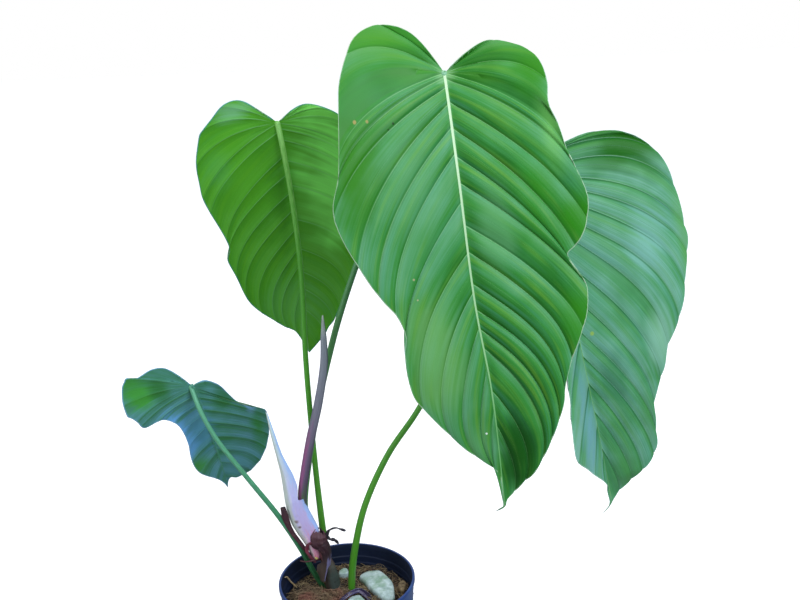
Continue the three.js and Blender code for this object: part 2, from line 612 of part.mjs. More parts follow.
const leafColours = {
  front: COLOURS.leafFront, left: COLOURS.leafLeft, right: COLOURS.leafRight, small: COLOURS.leafSmall,
};
Object.entries(LEAVES).forEach(([name, leaf]) => {
  const petioleColour = name === 'small' ? COLOURS.petioleBlue : COLOURS.petiole;
  add(`petiole_${name}`, cut(stemGeometry(PETIOLES[name], petioleShape), bladeGeometry(leaf, LEAF_CLEARANCE)),
    petioleColour, 0.4);
  add(`blade_${name}`, bladeGeometry(leaf), leafColours[name], 0.4);
});

export default plant;
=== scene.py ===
"""A young potted philodendron, dressed round its solid model: four long heart-shaped leaves with sunken
veins, a rolled new leaf in its pale sheath, old dry sheaths, and a nursery pot with mix, coir and stones.

Shapes are worked out in millimetres with +Z up, and become metres when a piece is made."""

import math

import bmesh
import bpy
import numpy as np
from mathutils import Matrix, Vector, noise


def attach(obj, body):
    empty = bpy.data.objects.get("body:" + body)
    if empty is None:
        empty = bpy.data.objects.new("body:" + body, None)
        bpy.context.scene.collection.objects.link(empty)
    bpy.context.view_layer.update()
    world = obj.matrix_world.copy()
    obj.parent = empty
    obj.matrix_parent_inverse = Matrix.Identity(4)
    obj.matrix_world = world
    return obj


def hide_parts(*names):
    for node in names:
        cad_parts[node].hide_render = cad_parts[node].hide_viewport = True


bl_info = {
    "name": "Potted philodendron",
    "version": (1, 0, 0),
    "blender": (4, 5, 0),
    "location": "3D View > Sidebar > Philodendron",
    "description": "Makes the leaves, stalks, sheaths, pot and filling of a potted philodendron",
    "category": "Object",
}

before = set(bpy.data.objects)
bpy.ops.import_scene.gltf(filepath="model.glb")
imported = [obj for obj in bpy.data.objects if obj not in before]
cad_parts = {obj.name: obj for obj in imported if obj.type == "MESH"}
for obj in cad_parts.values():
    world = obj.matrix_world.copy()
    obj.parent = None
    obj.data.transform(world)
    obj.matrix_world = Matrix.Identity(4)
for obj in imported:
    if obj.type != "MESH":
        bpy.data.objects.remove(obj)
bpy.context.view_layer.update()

MM = 0.001
BODY = "root"

# The camera that took the picture
CAMERA_PLACE = (0.072, -0.972, 0.734)
CAMERA_PITCH = math.radians(16.47)
CAMERA_ROLL = math.radians(-2.48)
CAMERA_LENS = 45.0
CAMERA_SENSOR = 36.0
CAMERA_CLIP = (0.05, 60)

# A white floor this far from the middle each way, and large soft panels: the open sky to the right and front,
# a weaker one overhead, a low fill from the left. Each has a name, place, aim, size, power and tint
FLOOR_HALF = 12.0
LAMPS = (
    ("sky_right", (1.25, -1.6, 1.75), (0.12, 0, 0.45), 1.5, 50, "#dbe8ff"),
    ("sky_top", (-0.1, 0.3, 2.5), (0.05, 0, 0.4), 1.8, 14, "#fff9ee"),
    ("fill_left", (-1.9, -1.3, 0.9), (0, 0, 0.4), 1.4, 12, "#eaf2ff"),
)

# How finely lines are drawn, how a tube's ends are domed, and a sheath's thickest wall as a share of its size
ROUTE_SAMPLES = 240
DOME_TURNS = (0.02, 0.5, 1.05)
THICKEST_WALL = 0.45

# Leaves. A spine runs crest of the lobes, sinus, then along the midrib to the tip. face_base and face_tip are
# the ways the upper face looks. Margins are [distance from the sinus, distance across], tip down, upper face
# up. Veins are [where on the midrib one starts, what share of that half's margin lies before its end]. A bow
# is how far a vein bends out of straight where it ends at each share in BOW_AT. depth is how far veins sink.
LEAVES = {
    "front": {
        "spine": [[117, -12, 709], [121, -45, 672], [129, -86, 583], [139, -108, 476], [153, -118, 386],
                  [164, -108, 271]],
        "face_base": [0.05, -1, 0.45], "face_tip": [-0.1, -1, 0.15],
        "fold": (10, 10), "curl": 0.0012, "wave": 2.5, "depth": 1,
        "bow_right": (0, 0.36, 0.28, 0.12, 0.11, 0.2, 0.26, 0.24, 0),
        "bow_left": (0, 0.32, 0.28, 0.16, 0.18, 0.15, 0.26, 0.24, 0),
        "right": [[-16, 23], [-27, 46], [-18, 69], [-9, 80], [2, 87], [22, 90], [44, 87.5], [66, 94],
                  [88, 98], [126, 110], [148, 108], [161, 103], [171, 95.5], [177, 88], [184, 89],
                  [194, 94], [205, 99.5], [218, 101], [245, 95], [279, 75], [297, 67], [314, 63], [345, 50],
                  [371, 36.5], [382, 29], [390, 21], [398, 14.5], [405, 9], [413, 2.5], [421, 1]],
        "left": [[-16, -8], [-44, -27], [-55, -50], [-51, -67], [-39, -80], [-12, -91.5], [8, -97.5],
                 [30, -100], [83, -106], [114, -115], [140, -110], [176, -93.5], [195, -82.5], [211, -71.5],
                 [228, -67], [244, -71], [268, -73], [291, -69.5], [315, -56], [337, -41.5], [354, -28.5],
                 [368, -15], [381, -2.5], [395, -0.7], [413, -1.2], [421, -1]],
        "veins_right": [[0, 0.1], [0, 0.22], [0, 0.31], [6, 0.385], [28, 0.455], [53, 0.495], [79, 0.53],
                        [103, 0.57], [141, 0.65], [165, 0.7], [194, 0.75], [218, 0.79], [236, 0.83],
                        [254, 0.87], [295, 0.92], [330, 0.95]],
        "veins_left": [[0, 0.13], [0, 0.21], [0, 0.3], [4, 0.41], [14, 0.47], [30, 0.535], [52, 0.575],
                       [76, 0.605], [120, 0.68], [166, 0.76], [202, 0.82], [234, 0.88], [272, 0.92],
                       [312, 0.95]],
        "tail": 13, "tail_bend": [-10, 0, 4],
    },
    "left": {
        "spine": [[-47, 32, 656], [-43, 40, 625], [-38, 60, 563], [-36, 85, 494], [-38, 110, 417],
                  [-36, 128, 350]],
        "face_base": [-0.25, 0.9, 0.35], "face_tip": [-0.1, 1, 0.1],
        "fold": (6, 6), "curl": 0.0015, "wave": 2, "depth": 0.4,
        "bow_right": (0, 0.2, 0.26, 0.2, 0.2, 0.24, 0.26, 0.24, 0),
        "bow_left": (0, 0.3, 0.28, 0.2, 0.2, 0.24, 0.26, 0.24, 0),
        "right": [[-11, 10], [-30, 29], [-31, 47], [-19, 64], [-9, 75], [-5, 78], [-1, 79.6], [25, 88],
                  [50, 90], [76, 89], [128, 75], [143, 74], [156, 77], [179, 70], [217, 57], [248, 28],
                  [255, 18], [263, 10]],
        "left": [[-9, -17], [-10, -35], [6, -62], [32, -76], [72, -84], [124, -79], [177, -62], [215, -49],
                 [246, -36], [259, -26], [270, -19]],
        "veins_right": [[0, 0.07], [0, 0.15], [0, 0.22], [0, 0.32], [0, 0.39], [9, 0.49], [36, 0.56],
                        [57, 0.61], [79, 0.69], [100, 0.76], [124, 0.82], [150, 0.87], [171, 0.9],
                        [205, 0.94], [240, 0.97]],
        "veins_left": [[0, 0.08], [0, 0.15], [0, 0.25], [0, 0.35], [6, 0.41], [18, 0.45], [41, 0.5],
                       [70, 0.55], [112, 0.65], [149, 0.74], [178, 0.82], [200, 0.87], [228, 0.93]],
        "tail": 0, "tail_bend": [0, 0, 0],
    },
    "right": {
        "spine": [[226, 60, 616], [231, 50, 583], [240, 20, 486], [257, 5, 383], [276, 10, 294],
                  [296, 25, 200]],
        "face_base": [0.5, -0.86, 0.35], "face_tip": [0.5, -0.86, 0.1],
        "fold": (28, 43), "curl": 0.002, "wave": 2.5, "depth": 0.9,
        "bow_right": (0, 0.2, 0.32, 0.28, 0.26, 0.2, 0.14, 0.12, 0),
        "bow_left": (0, 0.3, 0.34, 0.3, 0.26, 0.17, 0.06, 0.08, 0),
        "right": [[-7, 15], [-13, 42], [-11.5, 68], [-7, 83], [0, 99], [12, 114], [30, 124], [53, 130],
                  [77, 133.5], [95, 135], [113, 136.5], [132, 133.5], [153, 128], [179, 122], [206, 111],
                  [234, 95], [258, 86], [278, 74], [296, 66.5], [315, 64.5], [330, 62.5], [344, 60.5],
                  [356, 54], [366, 44], [375, 32], [384, 24], [391, 15], [396, 8], [400, 4], [405, 2]],
        "left": [[-9, -12], [-14, -38], [-12, -62], [3, -92], [30, -112], [90, -118], [140, -106], [180, -86],
                 [212, -78], [240, -88], [258, -98], [277, -98], [307, -70], [347, -30], [362, -17],
                 [375, -8], [392, -3.5], [405, -2]],
        "veins_right": [[0, 0.1], [0, 0.18], [14, 0.27], [27, 0.38], [36, 0.44], [48, 0.5], [64, 0.56],
                        [82, 0.63], [112, 0.69], [146, 0.74], [183, 0.8], [213, 0.85], [244, 0.89],
                        [279, 0.92], [325, 0.95]],
        "veins_left": [[0, 0.12], [0, 0.22], [0, 0.32], [30, 0.38], [60, 0.44], [95, 0.49], [130, 0.54],
                       [165, 0.58], [199, 0.62], [248, 0.7], [297, 0.8], [335, 0.88], [365, 0.94]],
        "tail": 20, "tail_bend": [-12, 0, 0],
    },
    "small": {
        "spine": [[-149, -32, 399], [-143, -20, 371], [-139, 0, 334], [-136, 25, 288], [-134, 45, 250],
                  [-133, 62, 215]],
        "face_base": [-0.45, 0.85, 0.1], "face_tip": [-0.45, 0.85, 0.1],
        "fold": (5, 5), "curl": 0.003, "wave": 1, "depth": 0.4,
        "bow_right": (0, 0.04, 0.1, 0.12, 0.1, 0.08, 0.12, 0.12, 0),
        "bow_left": (0, 0, -0.04, -0.02, 0.06, 0.1, 0.14, 0.12, 0),
        "right": [[-22, 8], [-37, 16], [-43.5, 28], [-43, 42], [-46, 47], [-50, 52.5], [-47, 55.5], [-42, 60],
                  [-25, 67], [-9, 69.5], [-4.5, 68], [0, 66], [8, 63.5], [15, 62.5], [21, 60], [23, 54],
                  [24, 42], [34, 33], [46, 28], [62, 26], [80, 26], [98, 28], [114, 28.5],
                  [130, 26], [143, 19], [155, 9], [166, 3]],
        "left": [[0, -6], [4, -15], [12, -22], [21, -27], [38, -32], [54, -38], [70, -50], [80, -60],
                 [88, -65], [106, -65], [124, -61], [136, -56], [148, -48], [159, -39], [167, -28],
                 [168, -14], [163, -6], [168, -2]],
        "veins_right": [[0, 0.1], [0, 0.24], [0, 0.33], [0, 0.4], [4, 0.46], [14, 0.51], [27, 0.57],
                        [45, 0.63], [66, 0.7], [90, 0.78], [112, 0.86], [135, 0.93]],
        "veins_left": [[0, 0.08], [0, 0.2], [6, 0.46], [17, 0.5], [38, 0.56], [60, 0.62], [84, 0.69],
                       [108, 0.76], [130, 0.83], [152, 0.9]],
        "tail": 0, "tail_bend": [0, 0, 0],
    },
}

# How finely a blade's spine and margin are drawn, and how far from its tip it has flattened
SPINE_STEPS = 40
TANGENT_REACH = 4
MARGIN_SAMPLES = 800
FLAT_TIP = (50, 18)

# A blade's rows: which are kept, the least gap between two, the rows from one vein to the next, how far their
# ends and the margin's notches are evened out, where they bend, and where on the margin a bow is given
ROW_RANGE = (0.04, 1.985)
ROW_GAP = 0.0015
SUB_ROWS = (0, 0.04, 0.1, 0.18, 0.28, 0.39, 0.5, 0.61, 0.72, 0.82, 0.9, 0.96)
ROW_BLUR = 0.02
NOTCH_BLUR = 0.025
BEND_AT = 0.65
BOW_AT = (0.07, 0.2, 0.3, 0.4, 0.57, 0.66, 0.8, 0.92, 1)

# A blade's columns: the ones beside the midrib in its half widths, the most of a row they may take, the rest
# of them, and how they crowd towards the margin
RIB_COLUMNS = (0, 0.22, 0.44, 0.66, 0.88, 1.1, 1.6)
RIB_SHARE = 0.45
BLADE_COLUMNS = 38
CROWDING = 0.12

# The midrib's sizes at the sinus and at the tip, its rise on the upper face, and the margin's rounding
RIB_HALF_WIDTH = (2.2, 0.7)
RIB_KEEL = (2.6, 0.4)
RIB_TOP = 0.5
MARGIN_ROUND = 0.25

# How much of its thickness a blade loses towards the tip, and over which share of its length
TIP_THINNING = 0.4
TIP_THINS = (0.8, 0.96)

# Folds between veins: the gaps between veins over which they grow, how round their tops are, how far round
# the sinus they are calm, and the height of the slow waves on the whole blade
CALM_PITCH = (2, 16)
FOLD_ROUNDNESS = 0.62
CALM_SINUS = 25
BILLOW = 0.8

# The margin's waves: how many there are by row, and the rows over which they die away before the tip. Folds
# do so over the next pair, and are that much lower at the margin than at the midrib
MARGIN_WAVES = 8
WAVES_END = (1.7, 2)
FOLDS_END = (1.8, 1.97)
FOLDS_DROP = 0.45

# What a blade's places carry for its materials, and the distance that reads as away from any vein. An under
# face is duller by this much than the face above it
BLADE_VALUES = ("a", "b", "from_vein", "run", "edge", "row", "strength", "tone")
FAR_FROM_VEIN = 9
UNDER_DULLER = 0.08

# Stalks, stem and sheaths: way-points from the bottom up with the radius or half sizes at each
STALKS = {
    "front": {
        "path": [[-40, 6, 206], [-40, 6, 224], [-22.5, 6, 317], [-3.5, 8, 389], [11.5, 9, 436],
                 [34.5, 14, 495], [62, 22, 560], [93, 14, 627], [114, -16, 659], [121, -45, 672]],
        "radius": [3.2, 3.1, 3.1, 3.3, 3.3, 3.1, 2.9, 2.8, 3, 3.2],
    },
    "left": {
        "path": [[-16.5, 30, 88], [-19.5, 28, 110], [-23.5, 24, 145], [-24.5, 20, 179], [-27, 18, 241],
                 [-29, 20, 311], [-30.5, 28, 378], [-29.5, 36, 472], [-34, 38, 550], [-39, 36, 600],
                 [-43, 40, 625]],
        "radius": [3.9, 3.9, 3.9, 3.8, 3.2, 3, 2.9, 2.8, 2.7, 2.8, 3],
    },
    "right": {
        "path": [[0, 10, 88], [3.5, 10, 108], [6, 8, 134], [11.5, 6, 166], [24.5, 5, 215], [52, 9, 272],
                 [89, 18, 323], [140.5, 34, 423], [190, 54, 515], [222, 60, 568], [231, 50, 583]],
        "radius": [4, 4, 4, 3.8, 3.5, 3.3, 3.1, 2.9, 2.8, 2.9, 3],
    },
    "small": {
        "path": [[-24, 24, 90], [-31, 20, 112], [-38.5, 14, 133], [-47, 4, 163], [-67.5, -6, 211],
                 [-97.5, -16, 266], [-122.5, -22, 311], [-136, -25, 345], [-144.5, -20, 371]],
        "radius": [3.1, 3.1, 3.1, 3.1, 2.9, 2.6, 2.4, 2.3, 2.4],
    },
}
STEM = {
    "path": [[-15, 10, 86], [-15.5, 10, 103.5], [-16, 10, 114], [-17.5, 8.5, 129], [-19.5, 6, 143],
             [-24, 4, 154.5], [-29, 3, 163], [-31.5, 2, 171]],
    "radius": [8.5, 8.6, 8.4, 7.8, 6.6, 5, 4.6, 4],
}
STEM_ROOT = {
    "path": [[-26, 2, 153.5], [-32, -5, 157], [-37, -8, 157.5], [-43, -8, 157], [-48.5, -6, 157]],
    "radius": [1.2, 1.1, 0.9, 0.8, 0.6],
}
STEM_BUD = {"path": [[-30.5, -1, 156], [-31.5, -4, 158], [-32, -5.5, 160]], "radius": [1.3, 1.4, 0.7]}
PALE_SHEATH = {
    "path": [[-32, 1, 155.5], [-32.5, 2, 165], [-35, 1, 178], [-39, 1, 190.5], [-44, 0, 203],
             [-48.5, -1, 218.5], [-50.5, -2, 232], [-53.5, -3, 249.5], [-55.5, -5, 261.5], [-61.5, -8, 285],
             [-66.5, -11, 311.5], [-71, -12, 336.5]],
    "section": [[3.6, 3.6], [6.6, 6], [9.5, 7], [11.8, 8.5], [12.2, 9.5], [11.1, 10.3], [10.6, 10.2],
                [8.4, 8.4], [7.1, 6], [3.8, 4], [2.5, 2.4], [0.8, 0.7]],
}
# Where the pale sheath opens round the new leaf and where it closes to a tip, as shares of its route
SHEATH_OPENING = (0.5, 0.55)
SHEATH_TIP = (0.55, 0.64)
NEW_LEAF = {
    "path": [[-41.5, 0, 215], [-42, -0.5, 226], [-41.5, -1, 236], [-37.5, -2.5, 258], [-32.5, -4, 281.5],
             [-28, -4, 301], [-17, -4, 342], [-9, -4, 383], [-7.5, -4, 411], [-7, -4, 434]],
    "radius": [4.2, 4.7, 5, 5, 4.9, 4.8, 4.6, 4.2, 3.3, 1],
}
OLD_SHEATH = {
    "path": [[-26, 4, 128], [-25, 2.5, 142], [-22.5, 1.5, 155], [-23, 0, 167], [-28, -1, 178],
             [-28, -2, 186.5], [-25.5, -2, 193]],
    "section": [[3.6, 6.4], [7.4, 7.2], [6.6, 7.6], [7.4, 8], [10, 9.4], [9.2, 8.4], [4.4, 3.8]],
}
# The old sheath's hood goes all round above these shares of its route; below them only a strip of it is left,
# on the right under the hood and in front lower down
HOOD_EDGE = (0.6, 0.65)
STRIP_TURN = (0.2, 0.36)
OLD_SHEATH_TEARS = [
    {"path": [[-19.5, -1, 182.5], [-16.5, 0, 188.5], [-13, 0, 191], [-8, 0, 192], [-4, 0, 190.5],
              [1, 0, 188.5]],
     "radius": [1.9, 1.5, 1, 0.8, 0.9, 1.4], "finish": 1},
    {"path": [[-19.5, 0, 182.5], [-15, 0, 178.5], [-10.5, 0, 177.5], [-7, 0, 173.5]],
     "radius": [1.8, 1.5, 1.7, 1.2], "finish": 1},
    {"path": [[-34, -8, 180], [-38.5, -7, 177], [-41, -5, 170.5], [-38.5, -4, 161], [-33, -3, 153.5]],
     "radius": [1.2, 1.8, 1.8, 1.8, 1.2], "finish": 2},
]
DRY_STRAP = {
    "path": [[-62.5, -10, 225], [-61, -9.5, 215], [-60, -8.5, 208], [-58.5, -7.5, 201.5], [-56, -6.5, 194.5],
             [-53, -5.5, 188], [-49, -4.5, 181], [-45.5, -3, 174], [-42.5, -2, 167], [-39, -1, 160],
             [-35, 1, 153]],
    "section": [[2.6, 0.9], [3.6, 1], [3.5, 1], [3, 0.9], [2.6, 0.9], [2.4, 0.9], [2.2, 0.9], [2, 0.9],
                [1.8, 1], [1.6, 1], [1.4, 1]],
}
FALLEN_SHEATH = {
    "path": [[-14, -24, 107], [-7, -14, 110.5], [3, -5.5, 113], [13, 0, 113.5], [21, -4, 110],
             [25, -13, 106.5]],
    "section": [[1.6, 1], [2.2, 1.4], [2.6, 1.6], [3, 2], [4.5, 2.4], [2.5, 1.6]],
}

# Pot, mix and what lies in it
POT = {
    "height": 130, "rim_radius": 75, "rim_band": 4.5, "wall": 1.3, "floor": 1.6,
    "collar_radius": 73.2, "collar_bottom": 92, "collar_step": 1.6, "body_top_radius": 69.6,
    "base_radius": 53, "rings": 3, "ring_pitch": 8, "ring_depth": 0.7, "segments": 144,
    "drain_holes": 6, "drain_radius": 4, "drain_circle": 36, "corner": 0.6,
    "sag": 0.25, "drill": 6,
}
MIX = {"top": 104, "bump": 3.2, "clearance": 0.3, "wall_top": 99, "rings": 46, "segments": 144, "crumb": 1.1}
STONES = {
    "stone_large": {
        "outline": [[12, 32], [20, 40], [33, 41], [37, 38], [41, 33], [50, 16], [52, -6], [51, -13],
                    [46, -15], [38, -11], [25, 8], [15, 26]],
        "bottom": 103.5, "top": 113, "tilt": (0.02, 0.05), "rough": 0.5, "seed": 3,
    },
    "stone_front": {
        "outline": [[0, -14], [4, -7], [11, -4], [16, -7], [20, -16], [14, -21], [5, -21]],
        "bottom": 102.5, "top": 111, "tilt": (0, 0), "rough": 0.5, "seed": 8,
    },
    "stone_small": {
        "outline": [[-12, 47], [-7, 54], [-2, 51], [-1, 42], [-6, 40], [-11, 41]],
        "bottom": 102.5, "top": 110.5, "tilt": (0, 0), "rough": 0.4, "seed": 13,
    },
    "bark_chip": {
        "outline": [[58, 22], [62, 26], [65, 18], [64, 6], [61, 2], [57, 8], [56, 16]],
        "bottom": 103, "top": 109, "tilt": (0, 0), "rough": 0.9, "seed": 21,
    },
}
PALE_ROOT = {
    "path": [[-69.5, 11, 127], [-68.2, 17, 123.6], [-65.3, 25, 112.5], [-62.3, 28, 106.5], [-59, 25, 105]],
    "radius": [0.5, 0.8, 0.9, 0.9, 0.6],
}
COIR = [{"centre": [-39, -12, 106.5], "half": [19.5, 23.5, 5.2], "turn": -12},
        {"centre": [-13, 0, 104.5], "half": [16, 8, 7.5], "turn": 0}]

# A stone's sides, and its profile from the middle of its foot to the middle of its top: shares of its outline
# and of its height
STONE_SIDES = 96
STONE_PROFILE = ((0.02, 0), (0.6, 0), (0.88, 0.06), (0.97, 0.3), (1.0, 0.6), (0.97, 0.84), (0.9, 0.96),
                 (0.8, 1.0), (0.66, 1.03), (0.5, 1.05), (0.34, 1.06), (0.18, 1.06), (0.02, 1.06))


# Numbers and curves


def smoothstep(value, low, high):
    share = np.clip((value - low) / (high - low), 0, 1)
    return share * share * (3 - 2 * share)


def blend(low, high, share):
    return low + (high - low) * share


def unit(vectors):
    vectors = np.asarray(vectors, float)
    return vectors / np.maximum(np.linalg.norm(vectors, axis=-1, keepdims=True), 1e-9)


def dot(a, b):
    return (a * b).sum(-1, keepdims=True)


def running_length(points):
    """How far along a line of places each one lies, from 0 at the first."""
    steps = np.linalg.norm(np.diff(points, axis=0), axis=1)
    return np.concatenate([[0], np.cumsum(steps)])


def cubic(start, end, leave, arrive, share):
    """The point at share between start and end of a curve that leaves and arrives with those slopes."""
    square = -3 * start + 3 * end - 2 * leave - arrive
    cube = 2 * start - 2 * end + leave + arrive
    return start + leave * share + square * share ** 2 + cube * share ** 3


def stretched(points):
    """The places that a line of points would come from and go on to."""
    return 2 * points[0] - points[1], 2 * points[-1] - points[-2]


def neighbours(points, share, ends):
    """The four points round each share of a line that has ends before and after it, and how far on it lies
    from the second."""
    padded = np.vstack([ends[0], points, ends[1]])
    place = np.clip(np.asarray(share, float), 0, 1) * (len(points) - 1)
    low = np.minimum(place.astype(int), len(points) - 2)
    return [padded[low + k] for k in range(4)], (place - low)[..., None]


def plain_curve(points, share, ends=None):
    """A smooth curve through points; share runs from 0 to 1. ends are the places before and after it, or else
    its own ends, where it then stands still."""
    (p0, p1, p2, p3), part = neighbours(points, share, ends or (points[0], points[-1]))
    return cubic(p1, p2, (p2 - p0) / 2, (p3 - p1) / 2, part)


class Route:
    """A smooth line through way-points, with the ways across and deep at each place. share is 0 to 1."""

    def __init__(self, points):
        points = np.asarray(points, float)
        self.share = np.linspace(0, 1, ROUTE_SAMPLES + 1)
        (p0, p1, p2, p3), part = neighbours(points, self.share, stretched(points))
        d0, d1, d2 = (np.linalg.norm(b - a, axis=1, keepdims=True) ** 0.5
                      for a, b in ((p0, p1), (p1, p2), (p2, p3)))
        leave = ((p1 - p0) / d0 - (p2 - p0) / (d0 + d1) + (p2 - p1) / d1) * d1
        arrive = ((p2 - p1) / d1 - (p3 - p1) / (d1 + d2) + (p3 - p2) / d2) * d1
        self.centre = cubic(p1, p2, leave, arrive, part)
        self.tangent = unit(np.gradient(self.centre, axis=0))
        across = np.array((1.0, 0.0, 0.0))
        ways = []
        for tangent in self.tangent:
            across = unit(across - tangent * across.dot(tangent))
            ways.append(across)
        self.across = np.array(ways)
        self.deep = np.cross(self.tangent, self.across)
        self.run = running_length(self.centre)
        self.points = len(points)

    def look_up(self, share, values):
        share = np.asarray(share, float)
        if values.ndim == 1:
            return np.interp(share, self.share, values)
        return np.stack([np.interp(share, self.share, column) for column in values.T], -1)

    def place(self, share, wide, deep):
        """The place at share, that far across and deep of the line."""
        share, wide, deep = np.broadcast_arrays(share, wide, deep)
        return (self.look_up(share, self.centre) + wide[..., None] * self.look_up(share, self.across)
                + deep[..., None] * self.look_up(share, self.deep))

    def size(self, share, sizes):
        """A size given at each way-point, at share."""
        return np.interp(np.asarray(share) * (self.points - 1), np.arange(self.points), sizes)


def ripple(places, pitch, seed, octaves=3):
    """A soft random value from about -1 to 1 at each place, whose waves are about pitch millimetres long."""
    flat = places.reshape(-1, 3)
    shift = Vector((seed * 17.3, seed * 5.1, seed * 9.7))
    values = [noise.fractal(Vector(p) / pitch + shift, 1.0, 2.0, octaves) for p in flat.tolist()]
    return np.array(values).reshape(places.shape[:-1])


# Pieces


def grid_faces(rows, columns, closed=False):
    """Quads over a grid of places, row by row; closed joins each row's last place to its first."""
    faces = []
    for i in range(rows - 1):
        for j in range(columns if closed else columns - 1):
            k = (j + 1) % columns
            faces.append((i * columns + j, i * columns + k, (i + 1) * columns + k, (i + 1) * columns + j))
    return faces


def closed_faces(rows, columns):
    """Quads over rings of places one above the other, with a cap on the first ring and on the last."""
    last = (rows - 1) * columns
    caps = [tuple(range(columns))[::-1], tuple(range(last, last + columns))]
    return grid_faces(rows, columns, closed=True) + caps


def ring_round(radius, height, angle):
    """Places round the pot's axis, at a radius and a height that may change with the angle."""
    return np.stack(np.broadcast_arrays(radius * np.cos(angle), radius * np.sin(angle), height), -1)


class Form:
    """A piece in the making: places in millimetres, faces, their finishes, and marks for the materials."""

    def __init__(self):
        self.points = []
        self.faces = []
        self.finish = []
        self.marks = []
        self.count = 0

    def add(self, points, faces, marks=None, finish=0):
        points = np.asarray(points, float).reshape(-1, 3)
        marks = np.zeros(len(points)) if marks is None else np.asarray(marks, float)
        self.points.append(points)
        self.marks.append(marks.reshape(len(points), -1))
        self.faces += [tuple(int(i) + self.count for i in face) for face in faces]
        self.finish += [finish] * len(faces)
        self.count += len(points)
        return self

    def tube(self, line, sides, steps, dome=(0.0, 1.0), finish=0, swell=lambda share, angle: 1):
        """Adds a round stem along a line's path. dome says how blunt each end is, and swell gives a factor
        for its radius at (share, angle)."""
        route = Route(line["path"])
        turn = np.array(DOME_TURNS)
        share = np.concatenate([0 * turn, np.linspace(0, 1, steps + 1), 0 * turn + 1])
        draw = np.concatenate([np.sin(turn), np.ones(steps + 1), np.sin(turn[::-1])])
        push = np.concatenate([-np.cos(turn) * dome[0], np.zeros(steps + 1), np.cos(turn[::-1]) * dome[1]])
        radius = route.size(share, line["radius"])
        angle = np.linspace(0, 2 * np.pi, sides, endpoint=False)
        shares, angles = np.meshgrid(share, angle, indexing="ij")
        size = (radius * draw)[:, None] * swell(shares, angles)
        points = route.place(shares, size * np.cos(angles), size * np.sin(angles))
        points = points + (push * radius)[:, None, None] * route.look_up(shares, route.tangent)
        marks = np.stack([route.look_up(shares, route.run), angles / (2 * np.pi)], -1)
        return self.add(points, closed_faces(len(share), sides), marks, finish)

    def shell(self, line, facing, span, top, shape, wall, around, steps):
        """Adds a sheath, a curved sheet wrapped round a line's path. facing is the way its back looks and
        span how far it wraps, in degrees at a share. top gives where the sheet ends at (part of the turn),
        and shape gives a factor for its section at (share, angle)."""
        route = Route(line["path"])
        along, turn = np.meshgrid(np.linspace(0, 1, steps + 1), np.linspace(-0.5, 0.5, around + 1),
                                  indexing="ij")
        share = along * top(turn)
        angle = np.radians(facing(share) + turn * span(share))
        wide, deep = (route.size(share, sizes) * shape(share, angle) for sizes in zip(*line["section"]))
        thick = np.minimum(wall, THICKEST_WALL * np.minimum(wide, deep))
        sheets = [route.place(share, (wide - inset) * np.cos(angle), (deep - inset) * np.sin(angle))
                  for inset in (0, thick)]
        marks = np.stack([route.look_up(share, route.run), angle / (2 * np.pi)], -1)
        rows, columns = along.shape
        count = rows * columns
        outside = grid_faces(rows, columns)
        inside = [tuple(i + count for i in face[::-1]) for face in outside]
        ring = [*range(columns), *range(2 * columns - 1, count, columns),
                *range(count - 2, count - columns - 1, -1), *range(count - 2 * columns, 0, -columns)]
        rim = [(a, a + count, b + count, b) for a, b in zip(ring, ring[1:] + ring[:1])]
        return self.add(sheets, outside + inside + rim, [marks, marks])

    def piece(self, name, materials, slot, nodes, mark_names=("marks",)):
        """Makes the piece in metres, rides it on the body and lets it stand for its CAD nodes."""
        mesh = bpy.data.meshes.new(name)
        mesh.from_pydata((np.vstack(self.points) * MM).tolist(), [], self.faces)
        for material in materials:
            mesh.materials.append(material)
        mesh.polygons.foreach_set("material_index", self.finish)
        mesh.polygons.foreach_set("use_smooth", [True] * len(self.faces))
        marks = np.vstack(self.marks)
        for i, mark_name in enumerate(mark_names):
            values = np.zeros((len(marks), 3))
            part = marks[:, 3 * i:3 * i + 3]
            values[:, :part.shape[1]] = part
            mark = mesh.attributes.new(mark_name, "FLOAT_VECTOR", "POINT")
            mark.data.foreach_set("vector", values.ravel())
        mesh.update()
        piece = bpy.data.objects.new(name, mesh)
        bpy.context.scene.collection.objects.link(piece)
        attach(piece, BODY)
        if nodes:
            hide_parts(*nodes)
        return piece


# Leaf blades


class Spine:
    """The line that carries a blade: from its lobes' crest through the sinus, where a is 0, to its tip."""

    def __init__(self, leaf):
        points = np.array(leaf["spine"], float)
        count = SPINE_STEPS * (len(points) - 1)
        self.line = plain_curve(points, np.linspace(0, 1, count + 1), stretched(points))
        run = running_length(self.line)
        self.reach = run - run[SPINE_STEPS]
        self.crest = self.reach[0]
        self.length = self.reach[-1]
        self.full = self.length + leaf["tail"]

    def at(self, a):
        return np.stack([np.interp(a, self.reach, column) for column in self.line.T], -1)


